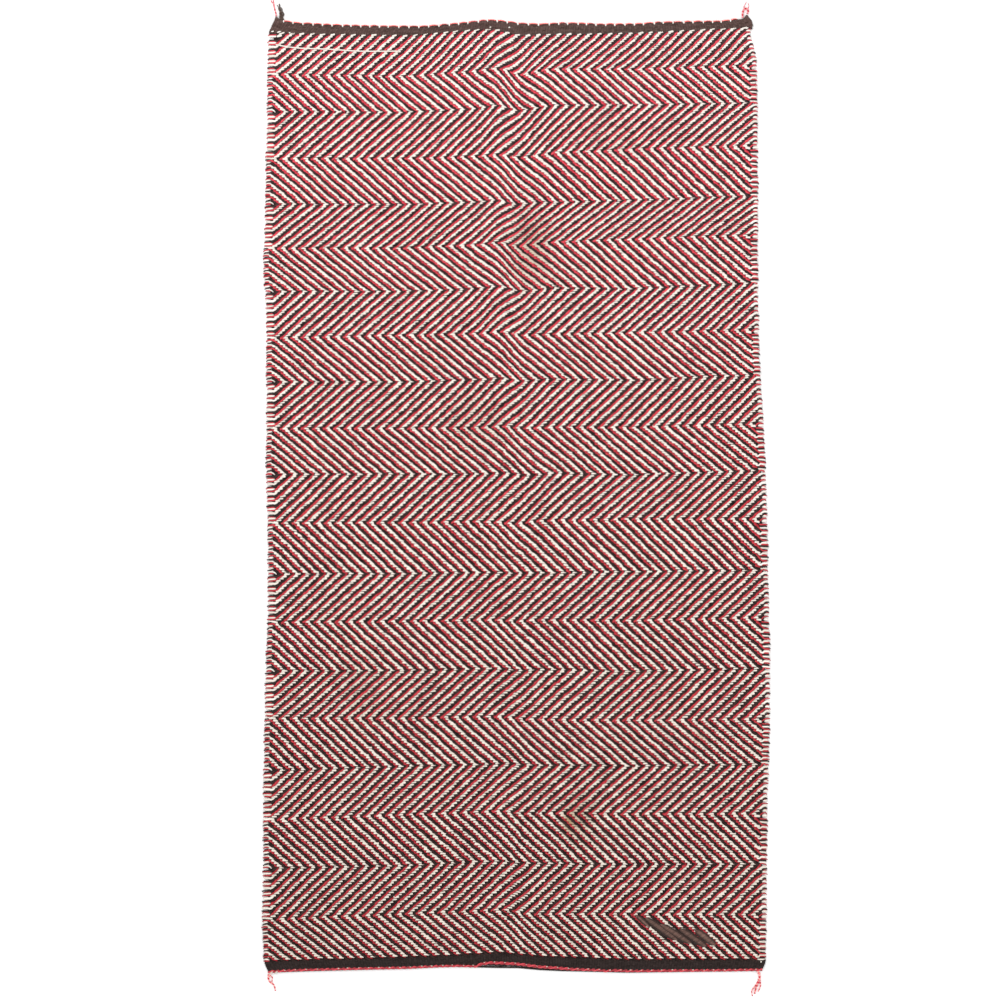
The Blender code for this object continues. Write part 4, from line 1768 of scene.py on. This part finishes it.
@dataclass
class Heading:
    """The upper edge: brown warp ends in low scallops, a red cord in arcs over them, cream warps between."""

    outline: Outline
    red: Material
    brown: Material
    cream: Material
    pitch: float = 15.1 * MM
    first: float = -364 * MM
    last: float = 338 * MM

    def build(self) -> list[Piece]:
        """Build the scallops, the cord's arcs and the warps in the notches.

        Returns:
            Three pieces. The red one stands for the upper cord's solid.
        """
        source = random.Random(SEED + 9)
        red_runs: list[YarnRun] = []
        brown_runs: list[YarnRun] = []
        cream_runs: list[YarnRun] = []
        start = self.first
        while start < self.last:
            width = self.pitch * source.uniform(0.88, 1.12)
            end = min(start + width, self.last + 8 * MM)
            bow = source.uniform(0.7, 1.3)
            brown_runs.append(self._arc(start + 1.0 * MM, end - 1.0 * MM, -1.3, bow, 1.4, 2.7))
            arc_end = end - source.uniform(0.9, 3.0) * MM
            red_runs.append(self._arc(start + 1.2 * MM, arc_end, 0.1, bow, source.uniform(0.75, 1.0), 2.8))
            fleck_end = start + source.uniform(2.2, 3.6) * MM
            red_runs.append(self._arc(start + 0.8 * MM, fleck_end, 0.1, 0.1, 1.25, 3.0))
            notch = start + source.uniform(-0.5, 0.5) * MM
            cream_runs.append(self._warp_end(notch, source.uniform(0.95, 1.35)))
            start = end
        cream_runs += [self._speck(*speck) for speck in CREAM_SPECKS]
        # Name, yarns, finish, slot, how much the tone varies, the tone, and how much it swings along a yarn;
        # the cream warps' tone above 1 is a painted highlight
        rows = (
            ("cord_top", red_runs, self.red, "red_yarn", 0.2, 1.0, 0.25),
            ("heading_brown", brown_runs, self.brown, "twill_wool", 0.2, 0.9, 0.0),
            ("heading_warps", cream_runs, self.cream, "twill_wool", 0.05, 1.25, 0.0),
        )
        pieces = []
        for name, runs, material, slot, tone_spread, own, step_swing in rows:
            points, triangles = joined([run.arrays() for run in runs])
            tones: list[float] = []
            for run in runs:
                own_tone = source.gauss(own, tone_spread)
                for step in range(len(run.path)):
                    tones += [own_tone + (step_swing if step % 2 else -step_swing)] * run.sides
                tones += [own_tone] * 2
            pieces.append(ClothPiece.make(name, points, triangles, np.array(tones), material, slot))
        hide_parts("end_cord_top")
        return pieces

    def _arc(
        self, start: float, end: float, base: float, rise: float, radius: float, level: float
    ) -> YarnRun:
        """Lay a run of yarn along the edge that bows outwards.

        Args:
            start: Its left end, in metres.
            end: Its right end, in metres.
            base: How far its ends lie beyond the edge, in millimetres.
            rise: How far its middle lies beyond its ends, in millimetres.
            radius: Its radius, in millimetres.
            level: Its height, in millimetres.

        Returns:
            The run of yarn.
        """
        steps = 7
        across = np.linspace(start, end, steps)
        bow = np.sin(np.linspace(0.0, math.pi, steps))
        height = self.outline.upper(across) + (base + rise * bow) * MM
        line = self.outline.in_frame(across, height, np.full(steps, level * MM))
        return yarn_along(line, radius * MM, (0.7, 0.9, 1.0, 1.0, 1.0, 0.9, 0.6))

    def _speck(self, across: float, height: float, length: float, radius: float) -> YarnRun:
        """Lay a short cream yarn that shows in a plain band.

        Args:
            across: Its middle across, in millimetres.
            height: Its middle up the length, in millimetres.
            length: Its length, in millimetres.
            radius: Its radius, in millimetres.

        Returns:
            The run of yarn.
        """
        places = np.array([-0.5, -0.2, 0.2, 0.5]) * length + across
        heights = height + 0.3 * (places - across)
        line = self.outline.in_frame(places * MM, heights * MM, np.array([4.0, 4.6, 4.6, 4.0]) * MM)
        return yarn_along(line, radius * MM, (0.6, 1.0, 1.0, 0.6))

    def _warp_end(self, across: float, radius: float) -> YarnRun:
        """Lay the end of a cream warp in a notch.

        Args:
            across: The notch's place across, in metres.
            radius: The yarn's radius, in millimetres.

        Returns:
            The run of yarn.
        """
        heights = self.outline.upper(np.full(4, across)) + np.array([-2.5, -1.2, 0.2, 1.1]) * MM
        line = self.outline.in_frame(np.full(4, across), heights, np.array([3.6, 4.1, 3.6, 2.4]) * MM)
        return yarn_along(line, radius * MM, (0.6, 1.0, 1.0, 0.8))


@dataclass
class LowerWarps:
    """The ends of cream warps that show in a row above the lower cord, and two pale plies at its left end."""

    outline: Outline
    cream: Material
    pitch: float = 16.3 * MM
    first: float = -361 * MM
    last: float = 380 * MM
    corner_plies: tuple[tuple[Place, Place], ...] = (
        ((-387.0, -742.4), (-380.8, -738.0)),
        ((-378.0, -741.4), (-373.0, -737.0)),
    )
    corner_ply_radius: float = 0.85 * MM
    tone: float = 0.7

    def build(self) -> Piece:
        """Build the row.

        Returns:
            The piece.
        """
        source = random.Random(SEED + 21)
        parts = []
        for place in np.arange(self.first, self.last, self.pitch):
            across = place + source.uniform(-1.2, 1.2) * MM + np.array([-1.3, -0.5, 0.5, 1.3]) * MM
            lift = self.outline.cord_lift(across)
            height = self.outline.lower(across) + lift + source.uniform(-0.9, 0.1) * MM
            level = np.array([3.4, 4.0, 4.0, 3.4]) * MM + self.outline.cord_rise(across)
            line = self.outline.in_frame(across, height, level)
            parts.append(yarn_along(line, source.uniform(0.5, 0.85) * MM, (0.6, 1.0, 1.0, 0.6)).arrays())
        for start, end in self.corner_plies:
            places = np.linspace(start, end, 4) * MM
            line = self.outline.in_frame(places[:, 0], places[:, 1], np.array([3.6, 4.8, 4.8, 3.6]) * MM)
            parts.append(yarn_along(line, self.corner_ply_radius, (1.0, 1.0, 1.0, 1.0)).arrays())
        points, triangles = joined(parts)
        tone = np.full(len(points), self.tone)
        return ClothPiece.make("lower_warps", points, triangles, tone, self.cream, "twill_wool")


@dataclass
class Studio:
    """Floor, lights and camera."""

    outline: Outline
    view_width: float = 1.56
    camera_height: float = 6.0
    sensor: float = 36.0
    view_across: float = -26.5 * MM
    view_height: float = -3.1 * MM

    def build(self) -> None:
        """Build the studio around the blanket."""
        self._floor()
        self._lights()
        self._camera()

    def _floor(self) -> None:
        """Lay a plain pale floor under the blanket."""
        mesh = bpy.data.meshes.new("studio_floor")
        half = 4.0
        corners = [(-half, -half, 0.0), (half, -half, 0.0), (half, half, 0.0), (-half, half, 0.0)]
        mesh.from_pydata(corners, [], [(0, 1, 2, 3)])
        material = bpy.data.materials.new("studio_floor_white")
        material.use_nodes = True
        shader = material.node_tree.nodes["Principled BSDF"]
        shader.inputs["Base Color"].default_value = (0.93, 0.93, 0.93, 1.0)
        shader.inputs["Roughness"].default_value = 0.9
        shader.inputs["Specular IOR Level"].default_value = 0.1
        mesh.materials.append(material)
        floor = bpy.data.objects.new("studio_floor", mesh)
        floor.location.z = -0.0005
        bpy.context.scene.collection.objects.link(floor)

    def _lights(self) -> None:
        """Hang soft lights over the blanket and a pale sky around it."""
        self._area("soft_key", Vector((-1.6, 1.8, 3.2)), 2.6, 78.0)
        self._area("soft_fill", Vector((1.8, -1.4, 3.2)), 2.6, 46.0)
        world = bpy.data.worlds.new("studio_world")
        world.use_nodes = True
        background = world.node_tree.nodes["Background"]
        background.inputs["Color"].default_value = (1.0, 1.0, 1.0, 1.0)
        background.inputs["Strength"].default_value = 0.81
        bpy.context.scene.world = world

    def _area(self, name: str, place: Vector, size: float, power: float) -> None:
        """Hang one square light that faces the blanket's middle.

        Args:
            name: The light's name.
            place: Where it hangs, in metres.
            size: Its side, in metres.
            power: Its power, in watts.
        """
        light = bpy.data.lights.new(name, "AREA")
        light.shape = "SQUARE"
        light.size = size
        light.energy = power
        lamp = bpy.data.objects.new(name, light)
        lamp.location = place
        lamp.rotation_euler = (-place).to_track_quat("-Z", "Y").to_euler()
        bpy.context.scene.collection.objects.link(lamp)

    def _camera(self) -> None:
        """Look straight down, with the upper end at the top of the picture."""
        data = bpy.data.cameras.new("camera_above")
        data.sensor_width = self.sensor
        data.lens = self.sensor * self.camera_height / self.view_width
        camera = bpy.data.objects.new("camera_above", data)
        camera.location = (
            self.view_across + self.outline.shift_across,
            self.view_height + self.outline.shift_height,
            self.camera_height,
        )
        bpy.context.scene.collection.objects.link(camera)
        bpy.context.scene.camera = camera
        bpy.context.scene.view_settings.view_transform = "Standard"


# Each finish's painted shade is the colour its shaded tips, rims and grooves are taken towards
PALE = WoolFinish(
    "cream_wool",
    lower=(0.70, 0.635, 0.55),
    middle=(0.76, 0.705, 0.635),
    upper=(0.80, 0.745, 0.68),
    painted_shade=(0.55, 0.48, 0.38),
)
DARK = WoolFinish(
    "dark_brown_wool",
    lower=(0.026, 0.014, 0.0115),
    middle=(0.035, 0.020, 0.018),
    upper=(0.050, 0.028, 0.028),
    painted_shade=(0.2, 0.2, 0.2),
)
RED = WoolFinish(
    "red_wool",
    lower=(0.39, 0.030, 0.039),
    middle=(0.53, 0.046, 0.058),
    upper=(0.69, 0.062, 0.088),
    painted_shade=(0.42, 0.10, 0.22),
)
BAND = WoolFinish(
    "brown_band_wool",
    lower=(0.024, 0.0155, 0.014),
    middle=(0.046, 0.027, 0.023),
    upper=(0.094, 0.056, 0.049),
)
MEND = WoolFinish(
    "mend_taupe_wool",
    lower=(0.118, 0.067, 0.054),
    middle=(0.118, 0.067, 0.054),
    upper=(0.118, 0.067, 0.054),
    painted_shade=(0.25, 0.22, 0.22),
)
# Painted shade: the near-black ground cloth stands for the shade that falls between the floats
GROUND_SHADE = WoolFinish(
    "shaded_ground_wool",
    lower=(0.015, 0.008, 0.008),
    middle=(0.015, 0.009, 0.008),
    upper=(0.019, 0.011, 0.01),
)
CORD_RED = WoolFinish(
    "cord_red_wool",
    lower=(0.46, 0.05, 0.065),
    middle=(0.5, 0.05, 0.055),
    upper=(0.92, 0.17, 0.15),
    painted_shade=(0.20, 0.12, 0.18),
)
TASSEL_RED = WoolFinish(
    "tassel_red_wool",
    lower=(0.95, 0.46, 0.42),
    middle=(0.95, 0.46, 0.42),
    upper=(0.93, 0.34, 0.36),
    painted_shade=(0.60, 0.01, 0.10),
)
TUFT = WoolFinish(
    "tuft_brown_wool",
    lower=(0.07, 0.045, 0.036),
    middle=(0.07, 0.045, 0.036),
    upper=(0.085, 0.056, 0.043),
)


def float_shapes() -> dict[tuple[Yarn, Slant], FloatShape]:
    """Return the form of each yarn's floats in each kind of band.

    The upper side of a cream stripe is smooth, because the yarn beside it lies over the floats' ends.
    Its lower side is toothed, because the floats' ends lie over the yarn there.

    Returns:
        A form for each yarn and each slant.
    """
    # The painted shadings darken tips and rims that lie in shade and brighten crests as painted highlight
    return {
        (Yarn.PALE, Slant.RISING): FloatShape(
            rise_per_warp=0.8, rise_gain=-0.6, lower_height=0.6, lower_height_gain=-0.4, left_tone=0.97,
            right_tone=1.0, crest_painted_shading=1.0, upper_rim_painted_shading=0.96, lower_rim_painted_shading=0.98, tone_spread=0.05,
            body_share=0.8, right_tip=4.3 * MM,
        ),
        (Yarn.DARK, Slant.RISING): FloatShape(
            rise_per_warp=1.7, lower_height=1.6, lower_height_gain=0.2, left_tone=-0.5, right_tone=0.8,
            crest_painted_shading=1.6, upper_rim_painted_shading=0.2, lower_rim_painted_shading=0.7, tone_spread=0.3, crest=4.4 * MM,
            lower_rim=4.0 * MM,
        ),
        (Yarn.RED, Slant.RISING): FloatShape(
            rise_per_warp=2.3, half_length=0.9, lower_height=1.2, lower_height_gain=0.1, upper_height=1.5,
            left_tone=1.25, right_tone=-0.1, crest_painted_shading=1.1, upper_rim_painted_shading=0.7, lower_rim_painted_shading=0.95,
            tone_spread=0.16, crest=4.9 * MM, lower_rim=4.6 * MM,
        ),
        (Yarn.PALE, Slant.FALLING): FloatShape(
            rise_per_warp=0.8, rise_gain=-0.6, lower_height=0.8, lower_height_gain=-0.3, left_tone=1.0,
            right_tone=0.97, crest_painted_shading=1.0, upper_rim_painted_shading=0.96, lower_rim_painted_shading=0.98, tone_spread=0.05,
            body_share=0.8, left_tip=4.3 * MM,
        ),
        (Yarn.DARK, Slant.FALLING): FloatShape(
            rise_per_warp=1.9, half_length=0.95, lower_height=1.6, lower_height_gain=0.4, left_tone=-0.5,
            right_tone=0.5, crest_painted_shading=1.6, upper_rim_painted_shading=0.2, lower_rim_painted_shading=0.7, tone_spread=0.3,
        ),
        (Yarn.RED, Slant.FALLING): FloatShape(
            rise_per_warp=1.4, lower_height=0.95, lower_height_gain=-0.7, left_tone=1.25, right_tone=-0.4,
            crest_painted_shading=1.1, upper_rim_painted_shading=0.2, lower_rim_painted_shading=1.0, tone_spread=0.16, crest=4.5 * MM,
        ),
    }


def back_shapes() -> dict[tuple[Yarn, Slant], FloatShape]:
    """Return the form of the floats on the face that lies on the ground.

    Returns:
        The same form for each yarn and each slant.
    """
    shape = FloatShape(
        upper_height=1.5, lower_height=1.5, crest=0.0, upper_rim=1.0 * MM, lower_rim=1.0 * MM,
        left_tip=1.4 * MM, right_tip=1.4 * MM,
    )
    return {(yarn, slant): shape for yarn in Yarn for slant in Slant}


def main() -> None:
    """Build the blanket's pieces in order and report them, then build the studio."""
    logging.basicConfig(level=logging.INFO, format="%(message)s")
    outline = Outline.from_frame()
    grid = WeaveGrid(outline)
    finishes = {Yarn.PALE: PALE.build(), Yarn.DARK: DARK.build(), Yarn.RED: RED.build()}
    band = BAND.build()
    cord_red = CORD_RED.build()
    body = GroundCloth(grid, GROUND_SHADE.build()).build()
    pieces = TwillFace(grid, Face.FRONT, finishes, float_shapes()).build()
    pieces += TwillFace(grid, Face.BACK, finishes, back_shapes()).build()
    pieces.append(PlainBand("upper_band", grid, -TURN_LINES[0][0], 0, band).build())
    last = grid.twill_picks
    pieces.append(PlainBand("lower_band", grid, last, last + LOWER_BAND_PICKS, band).build())
    pieces += SideLoops(grid, finishes).build()
    pieces += Heading(outline, cord_red, finishes[Yarn.DARK], finishes[Yarn.PALE]).build()
    pieces.append(Mend(outline, MEND.build(), MEND_LOBES).build())
    pieces.append(StrayThread(outline, finishes[Yarn.PALE], STRAY_THREAD).build())
    pieces += EndCord(outline, cord_red, finishes[Yarn.DARK]).build()
    pieces.append(LowerWarps(outline, finishes[Yarn.PALE]).build())
    tassel_finishes = {"red_yarn": TASSEL_RED.build(), "brown_yarn": TUFT.build()}
    pieces += [tassel.build(outline, tassel_finishes[tassel.slot]) for tassel in TASSELS]
    for piece in [body] + pieces:
        log.info("%s: %d triangles", piece.name, len(piece.data.polygons))
    Studio(outline).build()


if __name__ == "__main__":
    main()
